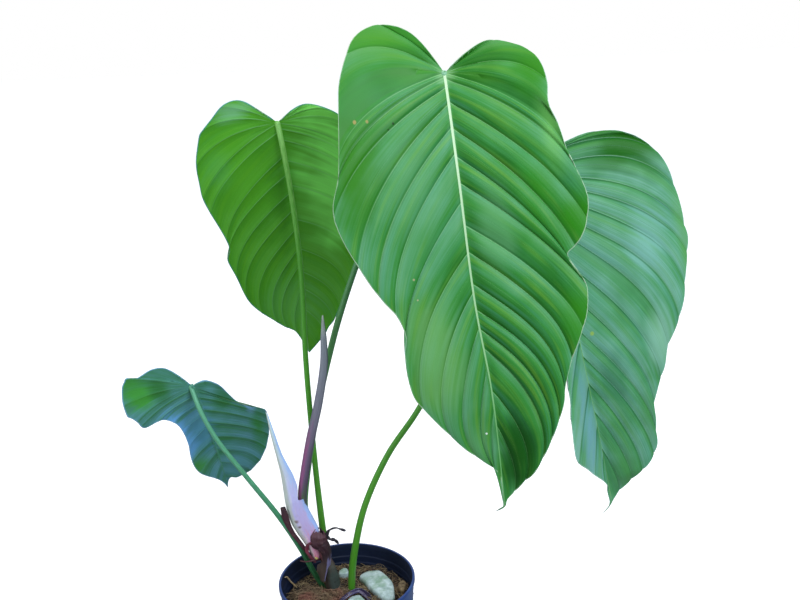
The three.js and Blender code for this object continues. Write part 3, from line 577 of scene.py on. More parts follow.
def blade_place(leaf, spine, a, b, lift):
    """The place on a blade's middle surface at a along its spine and b across, lifted off its upper face."""
    inside = np.clip(a, spine.crest + TANGENT_REACH, spine.length - TANGENT_REACH)
    tangent = unit(spine.at(inside + TANGENT_REACH) - spine.at(inside - TANGENT_REACH))
    over = (a - np.clip(a, spine.crest, spine.length))[..., None]
    base = spine.at(a) + tangent * over
    if leaf["tail"]:
        base = base + np.array(leaf["tail_bend"]) * (np.maximum(over, 0) / leaf["tail"]) ** 2
    turn = np.clip(a / spine.length, 0, 1)[..., None]
    face = unit(blend(unit(leaf["face_base"]), unit(leaf["face_tip"]), turn))
    normal = unit(face - dot(face, tangent) * tangent)
    right = np.cross(normal, tangent)
    flattening = smoothstep(spine.full - a, *FLAT_TIP)
    fold = np.radians(np.where(b >= 0, *leaf["fold"])) * (1 - flattening)
    curl = leaf["curl"]
    angle = curl * np.abs(b)
    out = np.sin(angle) / curl
    drop = (np.cos(angle) - 1) / curl
    across = out * np.cos(fold) - drop * np.sin(fold)
    rise = out * np.sin(fold) + drop * np.cos(fold) + lift
    return base + (np.sign(b) * across)[..., None] * right + rise[..., None] * normal


class HalfBlade:
    """One half of a blade: its margin from the sinus round the lobe to the tip, and its veins. A row runs
    from 0 at the cleft to 1 where the midrib begins, and to 2 at the tip."""

    def __init__(self, leaf, side, full):
        name = "right" if side > 0 else "left"
        self.side = side
        self.full = full
        self.bow = leaf["bow_" + name]
        self.points = np.array([[0, 0], *leaf[name], [full, 0]], float)
        self.share = np.linspace(0, 1, MARGIN_SAMPLES + 1)
        run = running_length(plain_curve(self.points, self.share))
        self.run = run / run[-1]
        veins = leaf["veins_" + name]
        basal = max(end for start, end in veins if start == 0)
        self.veins = [end / basal if start == 0 else 1 + start / full for start, end in veins]
        self.keys = [0, *self.veins, 2]
        self.ends = [0, *[end for start, end in veins], 1]

    def rows(self):
        """Every row that this half needs: its veins, and the rows between them."""
        return [blend(low, high, part) for low, high in zip(self.keys, self.keys[1:]) for part in SUB_ROWS]

    def phase(self, row):
        """Which vein a row lies at or after, with the share of the way to the next."""
        return np.interp(row, self.keys, np.arange(len(self.keys)))

    def end(self, row):
        """The share of the margin at which a row ends, evened out over its neighbours."""
        reach = ROW_BLUR * smoothstep(row, 0, 0.2) * (1 - smoothstep(row, 1.8, 2))
        return sum(np.interp(row + reach * k, self.keys, self.ends) for k in range(-2, 3)) / 5

    def margin(self, share):
        return plain_curve(self.points, np.interp(np.clip(share, 0, 1), self.run, self.share))

    def grid(self, row, t):
        """Flat places (a, b) at share t along each row: rows leave the sinus first, then the midrib, and bend
        towards the tip as they near the margin. A notch in the margin fades out from it inwards."""
        share = self.end(row)
        start = np.stack([self.full * np.maximum(0, row - 1), np.zeros_like(row)], -1)
        edge = self.margin(share)
        reach = NOTCH_BLUR * smoothstep(share, 0, 0.25) * (1 - smoothstep(share, 0.8, 1))
        end = sum(self.margin(share + reach * k / 3) for k in range(-3, 4)) / 7
        chord = end - start
        bow = np.interp(share, BOW_AT, self.bow)
        outward = np.stack([-np.abs(chord[:, 1]), self.side * chord[:, 0]], -1)
        bend = start + BEND_AT * chord + bow[:, None] * outward
        s = t[..., None]
        start, bend, end, notch = (v[:, None, :] for v in (start, bend, end, edge - end))
        return (1 - s) ** 2 * start + 2 * s * (1 - s) * bend + s ** 2 * end + notch * s ** 3


def blade_rows(halves):
    """The rows that both halves share on the midrib: every vein, then each row that stands clear of them."""
    first, last = ROW_RANGE
    kept = []
    veins = {row for half in halves for row in half.veins}
    for row in sorted(veins) + sorted(row for half in halves for row in half.rows()):
        if first <= row <= last and all(abs(row - other) >= ROW_GAP for other in kept):
            kept.append(row)
    return np.array(sorted(kept))


def half_values(leaf, spine, half, row, vein_depth):
    """The places of one half of a blade's middle surface, and what its materials need to know at each."""
    full = half.full
    edge = half.margin(half.end(row))
    x = np.maximum(0, row - 1)
    reach = np.linalg.norm(edge - np.stack([full * x, 0 * x], -1), axis=1)
    width = np.where(row > 1.1, np.abs(edge[:, 1]), reach)
    rib = np.array(RIB_COLUMNS) * blend(*RIB_HALF_WIDTH, x)[:, None]
    rib = rib * np.minimum(1, RIB_SHARE * width[:, None] / rib[:, -1:]) / width[:, None]
    spread = np.linspace(0, 1, BLADE_COLUMNS + 1)[1:]
    spread = spread + CROWDING * np.sin(np.pi * spread) * spread
    t = np.hstack([rib, blend(rib[:, -1:], 1, spread)])
    flat = half.grid(row, t)
    a, b = flat[..., 0], flat[..., 1]
    phase = half.phase(row)[:, None]
    part = phase - np.floor(phase)
    pitch = np.linalg.norm(np.gradient(flat, axis=0), axis=-1) / np.gradient(phase, axis=0)
    row = row[:, None]

    # Folds stand up between veins, and die away where veins crowd, beside the midrib and towards the margin
    calm = smoothstep(pitch, *CALM_PITCH) * (1 - smoothstep(row, *FOLDS_END))
    fold = -1 + 2 * np.sin(np.pi * part) ** FOLD_ROUNDNESS
    beside = smoothstep(np.abs(b), 0.5 * RIB_HALF_WIDTH[0], 4 * RIB_HALF_WIDTH[0])
    clear = np.where(row > 1, beside, smoothstep(np.hypot(a, b), 0, CALM_SINUS))
    relief = vein_depth * leaf["depth"] * calm * clear * fold * (1 - FOLDS_DROP * t * t)
    wave = leaf["wave"] * t ** 3 * np.sin(MARGIN_WAVES * row + half.side) * (1 - smoothstep(row, *WAVES_END))
    billow = np.sin(a / 31 + 1.2 * np.sin(b / 37)) * np.sin(b / 23 + 0.7)
    lift = relief + wave + BILLOW * billow * smoothstep(np.abs(b), 4, 30)
    nearest = phase - np.clip(np.round(phase), 1, len(half.veins))
    edge_line = np.vstack([edge, [[full, 0]]])
    gap = np.array([np.sqrt(((edge_line - p) ** 2).sum(1).min()) for p in flat.reshape(-1, 2)])
    # tone is a painted shade and sheen across each fold between veins: 1 just past a vein, falling to -1
    # before the next
    return {
        "places": blade_place(leaf, spine, a, b, lift), "a": a, "b": b, "from_vein": nearest * pitch,
        "run": t * reach[:, None], "edge": gap.reshape(a.shape), "row": phase,
        "strength": smoothstep(pitch, 1.5, 6) * (1 - 0.75 * t), "tone": (1 - 2 * part) * calm,
    }


def blade_form(leaf, vein_depth, thickness):
    """One blade as a closed thin solid: rows follow the veins, columns run from the midrib to the margin."""
    spine = Spine(leaf)
    full = spine.full
    sides = [HalfBlade(leaf, side, full) for side in (1, -1)]
    rows = blade_rows(sides)
    halves = [half_values(leaf, spine, half, rows, vein_depth) for half in sides]
    columns = halves[0]["places"].shape[1]

    # Number the places: one for the sinus, one for each row on the midrib, one for the tip, the rest by half
    on_rib = rows > 1
    rib_index = np.where(on_rib, np.cumsum(on_rib), 0)
    tip = 1 + on_rib.sum()
    ends = blade_place(leaf, spine, np.array([0, full]), np.zeros(2), np.zeros(2))
    places = [ends[:1], halves[0]["places"][on_rib, 0], ends[1:]]
    values = {name: [np.zeros(1), halves[0][name][on_rib, 0], np.zeros(1)] for name in BLADE_VALUES}
    values["a"][2] = np.array([full])
    indexes = []
    count = tip + 1
    for half in halves:
        own = count + np.arange(len(rows) * (columns - 1)).reshape(len(rows), columns - 1)
        indexes.append(np.hstack([rib_index[:, None], own]))
        places.append(half["places"][:, 1:].reshape(-1, 3))
        for name in BLADE_VALUES:
            wide = np.broadcast_to(half[name], half["places"].shape[:2])
            values[name].append(wide[:, 1:].ravel())
        count += own.size
    places = np.vstack(places)
    values = {name: np.concatenate(parts) for name, parts in values.items()}
    values["from_vein"][:tip + 1] = FAR_FROM_VEIN

    sheet = []
    for side, index in zip((1, -1), indexes):
        quads = [(index[i, j], index[i + 1, j], index[i + 1, j + 1], index[i, j + 1])
                 for i in range(len(rows) - 1) for j in range(columns - 1)]
        triangles = [three for a, b, c, d in quads for three in ((a, b, c), (a, c, d))
                     if len(set(three)) == 3]
        triangles += [(index[-1, j], tip, index[-1, j + 1]) for j in range(columns - 1)]
        sheet += [triangle[::side] for triangle in triangles]
    sheet = np.array(sheet)
    right, left = indexes
    loop = np.array([0, *left[0, 1:], *left[1:, -1], tip, *right[:0:-1, -1], *right[0, :0:-1]])

    normals = np.zeros_like(places)
    corner = [places[sheet[:, k]] for k in range(3)]
    facet = np.cross(corner[1] - corner[0], corner[2] - corner[0])
    for k in range(3):
        np.add.at(normals, sheet[:, k], facet)
    normals = unit(normals)
    share = np.clip(values["a"] / full, 0, 1)
    away = np.where(values["a"] < 0, np.hypot(values["a"], values["b"]), np.abs(values["b"]))
    away = away / blend(*RIB_HALF_WIDTH, share)
    bump = np.sqrt(np.clip(1 - away ** 2, 0, 1)) * smoothstep(values["edge"], 0, 3)
    half_thick = thickness / 2 * (1 - TIP_THINNING * smoothstep(share, *TIP_THINS))
    upper = places + normals * (half_thick + RIB_TOP * (1 - share) * bump)[:, None]
    lower = places - normals * (half_thick + blend(*RIB_KEEL, share) * bump)[:, None]
    run = places[np.roll(loop, -1)] - places[np.roll(loop, 1)]
    ring = places[loop] + unit(np.cross(run, normals[loop])) * MARGIN_ROUND

    # The upper face, the rounded margin above and below its ring, and the under face
    marks = np.stack([values["from_vein"], away, values["edge"], values["run"], values["row"] * 20,
                      values["strength"], values["a"] / 100, values["b"] / 100, values["tone"]], -1)
    total = len(places)
    number = len(loop)
    turned = np.roll(np.arange(number), -1)
    rings = 2 * total + np.arange(number)
    over = np.stack([loop[turned], loop, rings, rings[turned]], -1)
    under = np.stack([rings[turned], rings, loop + total, loop[turned] + total], -1)
    faces = [*sheet.tolist(), *over.tolist(), *under.tolist(), *(sheet[:, ::-1] + total).tolist()]
    form = Form().add(np.vstack([upper, lower, ring]), faces, np.vstack([marks, marks, marks[loop]]))
    form.finish = np.repeat([0, 1], len(sheet) + number).tolist()
    return form


# Materials


def colour(code):
    """A linear colour with alpha from an sRGB hex code."""
    parts = [int(code[i:i + 2], 16) / 255 for i in (1, 3, 5)]
    return tuple(p / 12.92 if p <= 0.04045 else ((p + 0.055) / 1.055) ** 2.4 for p in parts) + (1.0,)


def add_node(tree, kind, sockets=None, stops=(), **settings):
    """Adds a node with its settings, sets each socket or links it to a node or a node's output, and gives a
    colour ramp its stops."""
    node = tree.nodes.new(kind)
    for name, value in settings.items():
        setattr(node, name, value)
    for _ in stops[2:]:
        node.color_ramp.elements.new(1)
    for i, (position, tint) in enumerate(stops):
        node.color_ramp.elements[i].position = position
        node.color_ramp.elements[i].color = colour(tint)
    for name, value in (sockets or {}).items():
        if isinstance(value, bpy.types.Node):
            value = next(output for output in value.outputs if output.enabled)
        if isinstance(value, bpy.types.NodeSocket):
            tree.links.new(value, node.inputs[name])
        else:
            node.inputs[name].default_value = colour(value) if str(value).startswith("#") else value
    return node


def from_to(start, end, low=0.0, high=1.0):
    """Sockets of a Map Range node that turns what runs from start to end into low to high."""
    return {1: start, 2: end, 3: low, 4: high}


def swing(size):
    """Sockets of a Map Range node that turns a noise's usual spread into a change of size both ways."""
    return from_to(0.3, 0.7, -size, size)


SMOOTH = {"interpolation_type": "SMOOTHSTEP"}


def new_material(name):
    material = bpy.data.materials.new(name)
    material.use_nodes = True
    material.node_tree.nodes.clear()
    return material, material.node_tree


def add_surface(tree, sockets):
    """Ends a material's tree with its main shader, which has these values and links."""
    shader = add_node(tree, "ShaderNodeBsdfPrincipled", sockets)
    add_node(tree, "ShaderNodeOutputMaterial", {"Surface": shader})


def mark_values(tree, name="marks"):
    """What a piece's places carry for its materials: the marks of that name, and their three numbers."""
    marks = add_node(tree, "ShaderNodeAttribute", attribute_name=name).outputs["Vector"]
    return marks, add_node(tree, "ShaderNodeSeparateXYZ", {0: marks}).outputs


def lengthwise(tree, marks, along, across, detail):
    """Noise drawn out along a piece, with that many waves to one unit of its marks along and across it."""
    drawn = add_node(tree, "ShaderNodeVectorMath", {0: marks, 1: (along, across, 0)}, operation="MULTIPLY")
    return add_node(tree, "ShaderNodeTexNoise", {"Vector": drawn, "Scale": 1.0, "Detail": detail})


def soft_spot(tree, flat, place, half, solid, ragged=None):
    """A mask that is 1 at place on a blade and fades to 0 at half sizes out, from solid of the way there."""
    away = add_node(tree, "ShaderNodeMapping", {
        "Vector": flat, "Scale": tuple(100 / size for size in half) + (0.0,),
        "Location": tuple(-at / size for at, size in zip(place, half)) + (0.0,)})
    away = add_node(tree, "ShaderNodeVectorMath", {0: away}, operation="LENGTH").outputs["Value"]
    if ragged:
        away = add_node(tree, "ShaderNodeMath", {0: away, 1: ragged}, operation="ADD")
    return add_node(tree, "ShaderNodeMapRange", {0: away, **from_to(solid, 1, 1, 0)}, **SMOOTH)


def tinted(tree, skin, mask, share, tint):
    """The skin with a tint laid over it by a mask and a share."""
    part = add_node(tree, "ShaderNodeMath", {0: mask, 1: share}, operation="MULTIPLY")
    return add_node(tree, "ShaderNodeMix", {0: part, 6: skin, 7: tint}, data_type="RGBA")


def leaf_material(name, palette, gloss):
    """Living leaf, a waxy skin over green tissue: satin, streaked along its veins, with thin pale veins."""
    material, tree = new_material(name)
    mark = mark_values(tree)[1]
    weave, woven = mark_values(tree, "weave")
    flat, placed = mark_values(tree, "place")

    # Fine striations 1 to 2 mm apart and broad bands 6 mm apart run along the veins, in patches 40 mm wide
    streaks = lengthwise(tree, weave, 0.012, 0.9, 3.0)
    bands = lengthwise(tree, weave, 0.012, 0.17, 1.0)
    patches = add_node(tree, "ShaderNodeTexNoise", {
        "Vector": add_node(tree, "ShaderNodeTexCoord").outputs["Object"], "Scale": 22.0, "Detail": 2.0})
    streak_tone = add_node(tree, "ShaderNodeMapRange", {0: streaks, **swing(palette["streak"])})
    patch_tone = add_node(tree, "ShaderNodeMapRange", {0: patches, **swing(0.14)})
    noise_tone = add_node(tree, "ShaderNodeMath", {0: streak_tone, 1: patch_tone}, operation="ADD")
    # Painted sheen and shade: one half of the blade lighter than the other, and each fold lighter on one side
    # and darker on the other as light would fall on it, over a ramp from painted shade to a pale bluish
    # painted sheen that the streaks and patches also move
    half_painted_light = add_node(tree, "ShaderNodeMapRange", {
        0: placed[1], **from_to(-0.04, 0.04, palette["halves"][1], palette["halves"][0])})
    fold_shade_and_sheen = add_node(tree, "ShaderNodeMath", {0: placed[2], 1: palette["relief"], 2: half_painted_light},
                         operation="MULTIPLY_ADD")
    tone = add_node(tree, "ShaderNodeMath", {0: noise_tone, 1: fold_shade_and_sheen}, operation="ADD")
    skin = add_node(tree, "ShaderNodeValToRGB", {0: tone}, stops=[
        (0.0, palette["deep"]), (0.5, palette["mid"]), (1.0, palette["light"])])

    # Yellower and bluer bands between the veins
    warm = add_node(tree, "ShaderNodeMapRange", {0: bands, **from_to(0.52, 0.72)})
    cool = add_node(tree, "ShaderNodeMapRange", {0: bands, **from_to(0.48, 0.28)})
    skin = tinted(tree, skin, warm, palette["warm_share"], palette["warm"])
    skin = tinted(tree, skin, cool, palette["cool_share"], palette["cool"])

    # The lobes over the sinus are younger and yellower, then broad soft changes with ragged edges: some are
    # the leaf's own greens, others a painted sheen or a painted shade
    lobe = add_node(tree, "ShaderNodeMapRange", {0: placed[0], **from_to(0.35, -0.35)}, **SMOOTH)
    skin = tinted(tree, skin, lobe, palette["lobe_share"], palette["lobe"])
    ragged = add_node(tree, "ShaderNodeMath", {
        0: add_node(tree, "ShaderNodeMapRange", {0: bands, **swing(0.2)}),
        1: add_node(tree, "ShaderNodeMapRange", {0: patches, **swing(0.2)})}, operation="ADD")
    for tint, share, at, half in palette["shades"]:
        skin = tinted(tree, skin, soft_spot(tree, flat, at, half, 0.1, ragged), share, tint)

    # A painted shadow line on one side of each vein, then the vein's own pale line, under 1 mm wide
    for beside, near, far, share, tint in (
            (palette["shadow_side"], 0.4, 2.2, palette["shadow_share"], palette["deep"]),
            (0.0, 0.1, 0.8, palette["vein_share"], palette["vein"])):
        away = add_node(tree, "ShaderNodeMath", {0: mark[0], 1: beside}, operation="ADD")
        away = add_node(tree, "ShaderNodeMath", {0: away}, operation="ABSOLUTE")
        line = add_node(tree, "ShaderNodeMapRange", {0: away, **from_to(near, far, 1, 0)}, **SMOOTH)
        line = add_node(tree, "ShaderNodeMath", {0: line, 1: woven[2]}, operation="MULTIPLY")
        skin = tinted(tree, skin, line, share, tint)
    for tint, share, at, half in palette["spots"]:
        skin = tinted(tree, skin, soft_spot(tree, flat, at, half, 0.5), share, tint)

    # The midrib, which changes colour on its way to the tip, and the pale margin, partly its own hardened rim
    # and partly a painted highlight where the edge catches the light
    run = add_node(tree, "ShaderNodeMapRange", {0: placed[0], **from_to(0.8, palette["rib_run"])})
    rib_tint = add_node(tree, "ShaderNodeMix", {0: run, 6: palette["rib"], 7: palette["rib_far"]},
                        data_type="RGBA")
    rib = add_node(tree, "ShaderNodeMapRange", {0: mark[1], **from_to(0.45, 0.8, 1, 0)}, **SMOOTH)
    skin = tinted(tree, skin, rib, palette["rib_share"], rib_tint)
    edge = add_node(tree, "ShaderNodeMapRange", {0: mark[2], **from_to(0.2, palette["edge_width"], 1, 0)},
                    **SMOOTH)
    skin = tinted(tree, skin, edge, palette["edge_share"], palette["edge"])
    add_surface(tree, {
        "Base Color": skin, "Specular IOR Level": palette["gleam"], "Coat Weight": palette["coat"],
        "Coat Roughness": 0.35,
        "Roughness": add_node(tree, "ShaderNodeMapRange", {
            0: streaks, **from_to(0.3, 0.7, gloss - 0.05, gloss + 0.08)}),
        "Normal": add_node(tree, "ShaderNodeBump", {"Height": streaks, "Strength": 0.4, "Distance": 0.0004})})
    return material


def skin_material(name):
    """The skin of a stalk, stem or sheath from its row in SKINS, coloured in bands from its foot up."""
    row = {**PLAIN_SKIN, **SKINS[name]}
    material, tree = new_material(name)
    marks, mark = mark_values(tree)
    folds = lengthwise(tree, marks, row["along"], row["around"], 4.0)
    spread = add_node(tree, "ShaderNodeMapRange", {0: folds, **swing(row["swing"])})
    height = add_node(tree, "ShaderNodeMath", {0: mark[0], 1: 1 / row["length"], 2: spread},
                      operation="MULTIPLY_ADD")
    skin = add_node(tree, "ShaderNodeValToRGB", {0: height}, stops=row["bands"])
    streaked = add_node(tree, "ShaderNodeMath", {0: spread, 1: 0.5, 2: mark[1]}, operation="MULTIPLY_ADD")
    for tint, share, begin, full, fade_from, fade_to in row["flanks"]:
        flank = add_node(tree, "ShaderNodeMapRange", {0: streaked, **from_to(begin, full)}, **SMOOTH)
        fade = add_node(tree, "ShaderNodeMapRange", {
            0: height, **from_to(fade_from, fade_to, 1, 0)}, **SMOOTH)
        flank = add_node(tree, "ShaderNodeMath", {0: flank, 1: fade}, operation="MULTIPLY")
        skin = tinted(tree, skin, flank, share, tint)
    where = add_node(tree, "ShaderNodeTexCoord").outputs["Object"]
    for tint, share, place, radius in row["specks"]:
        away = add_node(tree, "ShaderNodeVectorMath", {0: where, 1: tuple(at * MM for at in place)},
                        operation="DISTANCE").outputs["Value"]
        speck = add_node(tree, "ShaderNodeMapRange", {
            0: away, **from_to(0.4 * radius * MM, radius * MM, 1, 0)}, **SMOOTH)
        skin = tinted(tree, skin, speck, share, tint)
    for tint, share in row["pits"]:
        pits = add_node(tree, "ShaderNodeTexNoise", {"Vector": where, "Scale": 260.0, "Detail": 2.0})
        pit = add_node(tree, "ShaderNodeMapRange", {0: pits, **from_to(0.58, 0.68)})
        skin = tinted(tree, skin, pit, share, tint)
    add_surface(tree, {
        "Base Color": skin, "Roughness": row["gloss"], "Coat Weight": row["coat"][0],
        "Coat Roughness": row["coat"][1],
        "Normal": add_node(tree, "ShaderNodeBump", {
            "Height": folds, "Strength": row["strength"], "Distance": row["depth"] * MM})})
    return material


def ground_material(name):
    """Soil, stone, bark or fibre from its row in GROUNDS: broken colour and a rough matt skin."""
    row = GROUNDS[name]
    material, tree = new_material(name)
    where = add_node(tree, "ShaderNodeTexCoord").outputs["Object"]
    broken = add_node(tree, "ShaderNodeTexNoise", {
        "Vector": where, "Scale": row["waves"], "Detail": 8.0, "Roughness": 0.65})
    skin = add_node(tree, "ShaderNodeValToRGB", {0: broken}, stops=row["shades"])
    for tint, share, waves in row.get("patches", ()):
        patch = add_node(tree, "ShaderNodeTexNoise", {"Vector": where, "Scale": waves, "Detail": 5.0})
        part = add_node(tree, "ShaderNodeMapRange", {0: patch, **from_to(0.46, 0.62, 0.0, share)})
        skin = add_node(tree, "ShaderNodeMix", {0: part, 6: skin, 7: tint}, data_type="RGBA")
    add_surface(tree, {
        "Base Color": skin, "Roughness": row["gloss"],
        "Normal": add_node(tree, "ShaderNodeBump", {
            "Height": broken, "Strength": 0.8, "Distance": row["grain"] * MM})})
    return material


def pot_material(name, body, scuff, gloss, coat):
    """Black-blue polypropylene, injection moulded: satin, faintly rippled, with pale scuffs and dust."""
    material, tree = new_material(name)
    where = add_node(tree, "ShaderNodeTexCoord").outputs["Object"]
    dust = add_node(tree, "ShaderNodeTexNoise", {
        "Vector": where, "Scale": 34.0, "Detail": 7.0, "Roughness": 0.7})
    share = add_node(tree, "ShaderNodeMapRange", {0: dust, **from_to(0.5, 0.8, 0.0, 0.5)})
    ripples = add_node(tree, "ShaderNodeTexNoise", {"Vector": where, "Scale": 420.0, "Detail": 2.0})
    add_surface(tree, {
        "Base Color": add_node(tree, "ShaderNodeMix", {0: share, 6: body, 7: scuff}, data_type="RGBA"),
        "Specular IOR Level": 0.4, "Coat Weight": coat, "Coat Roughness": 0.18,
        "Roughness": add_node(tree, "ShaderNodeMapRange", {
            0: dust, **from_to(0.35, 0.75, gloss - 0.06, gloss + 0.2)}),
        "Normal": add_node(tree, "ShaderNodeBump", {"Height": ripples, "Strength": 0.2, "Distance": 0.0002})})
    return material


# Upper and under faces of each leaf. Tones run deep, mid, light, from a painted shade to a pale bluish
# painted
# sheen: halves is the painted sheen or painted light tone of the right and the left half, relief how far the
# painted shade and sheen follow the folds between veins, streak how far the tone varies. Shades and spots are
# [colour, share, place on the flat blade, half sizes], in millimetres; some shades are the leaf's own greens,
# many a painted sheen or painted shade. gleam and coat say how waxy it is.
LEAF_SKIN = {
    "warm": "#6fa52c", "warm_share": 0.35, "cool": "#4f9a7c", "cool_share": 0.3, "streak": 0.13,
    "vein": "#9fd08f", "vein_share": 0.65, "rib": "#cfe8b8", "rib_far": "#76b86c", "rib_run": 3.4,
    "rib_share": 0.95, "edge": "#cfe6c2", "edge_share": 0.6, "edge_width": 1.0, "shadow_side": 1.6,
    "shadow_share": 0.4, "gleam": 0.28, "coat": 0.0, "halves": (0.5, 0.5), "spots": [], "shades": [],
}
UPPER = {
    "front": {**LEAF_SKIN, "deep": "#186214", "mid": "#378634", "light": "#5f9f6e", "lobe": "#358710",
              "lobe_share": 0.6, "gleam": 0.18, "relief": 0.3, "halves": (0.4, 0.6), "cool_share": 0.25,
              "vein": "#92c882", "vein_share": 0.58, "shades": [
                  # Pale bluish-grey shades are a painted sheen, and the near-black one by the tip a painted
                  # shade
                  ["#5f9f66", 0.4, (105, -44), (75, 40)], ["#468f44", 0.5, (22, -82), (36, 26)],
                  ["#2f7a00", 0.92, (80, -94), (84, 36)], ["#3f8c14", 0.65, (-40, -60), (30, 34)],
                  ["#7cb466", 0.5, (262, -45), (90, 34)], ["#6cae52", 0.7, (68, 86), (44, 17)],
                  ["#2c8408", 0.75, (124, 66), (56, 26)], ["#2b8005", 0.9, (150, 100), (34, 30)],
                  ["#2f8208", 0.75, (238, 92), (40, 26)], ["#2c7e00", 0.97, (6, 82), (36, 30)],
                  ["#1b6c08", 0.6, (-8, 28), (26, 36)], ["#1d6d10", 0.5, (-22, -14), (18, 22)],
                  ["#5d9f5c", 0.7, (350, -18), (44, 18)], ["#0b4c03", 0.9, (362, 18), (50, 24)],
                  ["#5fa062", 0.6, (150, 28), (64, 24)], ["#a5cf93", 0.5, (2, 0), (13, 13)]],
              "spots": [["#b79a5c", 0.7, (41, -87), (2.4, 2)], ["#b79a5c", 0.6, (42, -76), (2, 1.6)],
                        ["#23421c", 0.9, (45, -53), (1.4, 1.4)], ["#23421c", 0.8, (50, -58), (1, 1)],
                        ["#c9b98a", 0.6, (182, -52), (1.3, 1.3)], ["#c9b98a", 0.6, (200, -51), (1, 1)],
                        ["#eef6e4", 0.95, (336, -10), (1.3, 1.3)]]},
    "right": {**LEAF_SKIN, "deep": "#155c2a", "mid": "#4e955c", "light": "#80b79c", "lobe": "#2f7d14",
              "lobe_share": 0.9, "gleam": 0.16, "relief": -0.3, "halves": (0.6, 0.7),
              "vein": "#a6d4ba", "vein_share": 0.45,
              "rib": "#8fc06f", "rib_far": "#7db06a", "rib_share": 0.8, "edge": "#b5d8bf",
              "warm": "#55993a", "cool": "#6aa8a2", "cool_share": 0.25, "shadow_side": -1.8,
              "shadow_share": 0.8,
              "shades": [
                  # The pale blue-grey shades are a painted sheen of the sky
                  ["#1c6800", 0.97, (2, 88), (48, 70)], ["#5f9f45", 0.5, (120, 132), (90, 12)],
                  ["#86bcac", 0.6, (112, 88), (52, 32)], ["#94c6a6", 0.65, (222, 88), (50, 22)],
                  ["#3f8743", 0.4, (150, 56), (30, 24)], ["#74a8b0", 0.75, (275, -42), (80, 44)],
                  ["#4a8f48", 0.65, (362, 22), (44, 26)], ["#4a8f3c", 0.4, (300, 58), (40, 14)],
                  ["#3b7a50", 0.5, (250, 30), (60, 18)]],
              "spots": [["#a8c352", 0.8, (193, 14), (3, 2.4)]]},
    "left": {**LEAF_SKIN, "deep": "#1e6426", "mid": "#357f37", "light": "#57995a", "lobe": "#469030",
             "lobe_share": 0.5, "relief": 0.25},
    "small": {**LEAF_SKIN, "deep": "#1f5a30", "mid": "#357547", "light": "#5c9672", "lobe": "#438642",
              "lobe_share": 0.4, "relief": 0.22},
}
UNDER_SKIN = {**LEAF_SKIN, "vein": "#7fba80", "vein_share": 0.5, "shadow_share": 0.3, "rib": "#6faf62",
              "rib_far": "#6faf62", "edge": "#a9cfae", "edge_share": 0.5, "lobe_share": 0.4, "relief": -0.2,
              "gleam": 0.2}
UNDER = {
    "front": {**UNDER_SKIN, "deep": "#38803a", "mid": "#4f9450", "light": "#74ad78", "lobe": "#5a9f45"},
    "right": {**UNDER_SKIN, "deep": "#3a7f4c", "mid": "#519360", "light": "#78ac86", "lobe": "#5a9c50"},
    "left": {**UNDER_SKIN, "deep": "#3f9212", "mid": "#54a824", "light": "#6cbc46", "lobe": "#58a82c",
             "vein": "#86c87c", "vein_share": 0.55, "warm": "#66b61c", "cool": "#48a044", "cool_share": 0.2,
             "rib": "#98d67c", "rib_far": "#74be52", "rib_run": 2.6, "rib_share": 0.95, "edge": "#4f9aa0",
             "edge_share": 0.75, "edge_width": 1.4, "relief": -0.25, "halves": (0.5, 0.62), "shades": [
                 # The pale blue-green shade on the lobe's crest is a painted highlight, and the bright one
                 # over the b<0 half painted light that lifts it out of the front leaf's shadow
                 ["#8ccb98", 0.6, (-22, 38), (14, 26)], ["#5fb25c", 0.3, (40, 66), (34, 20)],
                 ["#58b01c", 0.5, (60, 40), (60, 30)], ["#94ff70", 0.92, (66, -50), (124, 54)],
                 ["#3a8a12", 0.5, (90, 8), (70, 16)], ["#6cba5c", 0.5, (228, 8), (60, 46)]]},
    "small": {**UNDER_SKIN, "deep": "#22662e", "mid": "#3a7d54", "light": "#669faa", "lobe": "#40902f",
              "lobe_share": 0.35, "vein": "#6aa97c", "vein_share": 0.3, "rib": "#4a8f6c",
              "rib_far": "#4a8f6c",
              "rib_share": 0.6, "edge": "#86b4d8", "edge_share": 0.7, "edge_width": 1.4, "warm": "#3f8c35",
              "cool": "#5a96a4", "cool_share": 0.4, "halves": (0.76, 0.66), "coat": 0.1, "shades": [
                  # The blue shades are a painted sheen of the sky
                  ["#45a030", 0.9, (-20, 50), (36, 20)], ["#2c7420", 0.8, (-14, 30), (26, 14)],
                  ["#5392ac", 0.75, (60, 12), (56, 24)], ["#72b4f0", 1.0, (64, 34), (62, 20)],
                  ["#8fbdf2", 0.95, (62, -50), (34, 9)], ["#409426", 0.85, (122, 26), (22, 20)],
                  ["#35882a", 0.85, (106, -52), (50, 16)], ["#2c7428", 0.6, (44, -24), (34, 14)],
                  ["#5a94a0", 0.6, (148, -14), (28, 26)], ["#317a38", 0.5, (0, -10), (24, 22)]]},
}
LEAF_SLOTS = {"front": "leaf_upper", "left": "leaf_underside", "right": "leaf_blue", "small": "leaf_small"}
# Skins of stalks, stem and sheaths. Bands are coloured over length from the foot up. Lengthwise wrinkles have
# along waves a millimetre and around waves a turn, move the bands by swing, and look depth deep. A flank is
# [colour, share, turns where it begins and is full, parts of the height where it begins and ends to fade], a
# speck [colour, share, place, radius], and pits [colour, share]. coat is a clear coat's weight and roughness.
PLAIN_SKIN = {"gloss": 0.6, "flanks": [], "specks": [], "pits": [], "along": 0.09, "around": 26.0,
              "swing": 0.06, "strength": 0.6, "depth": 0.3, "coat": (0.0, 0.03)}
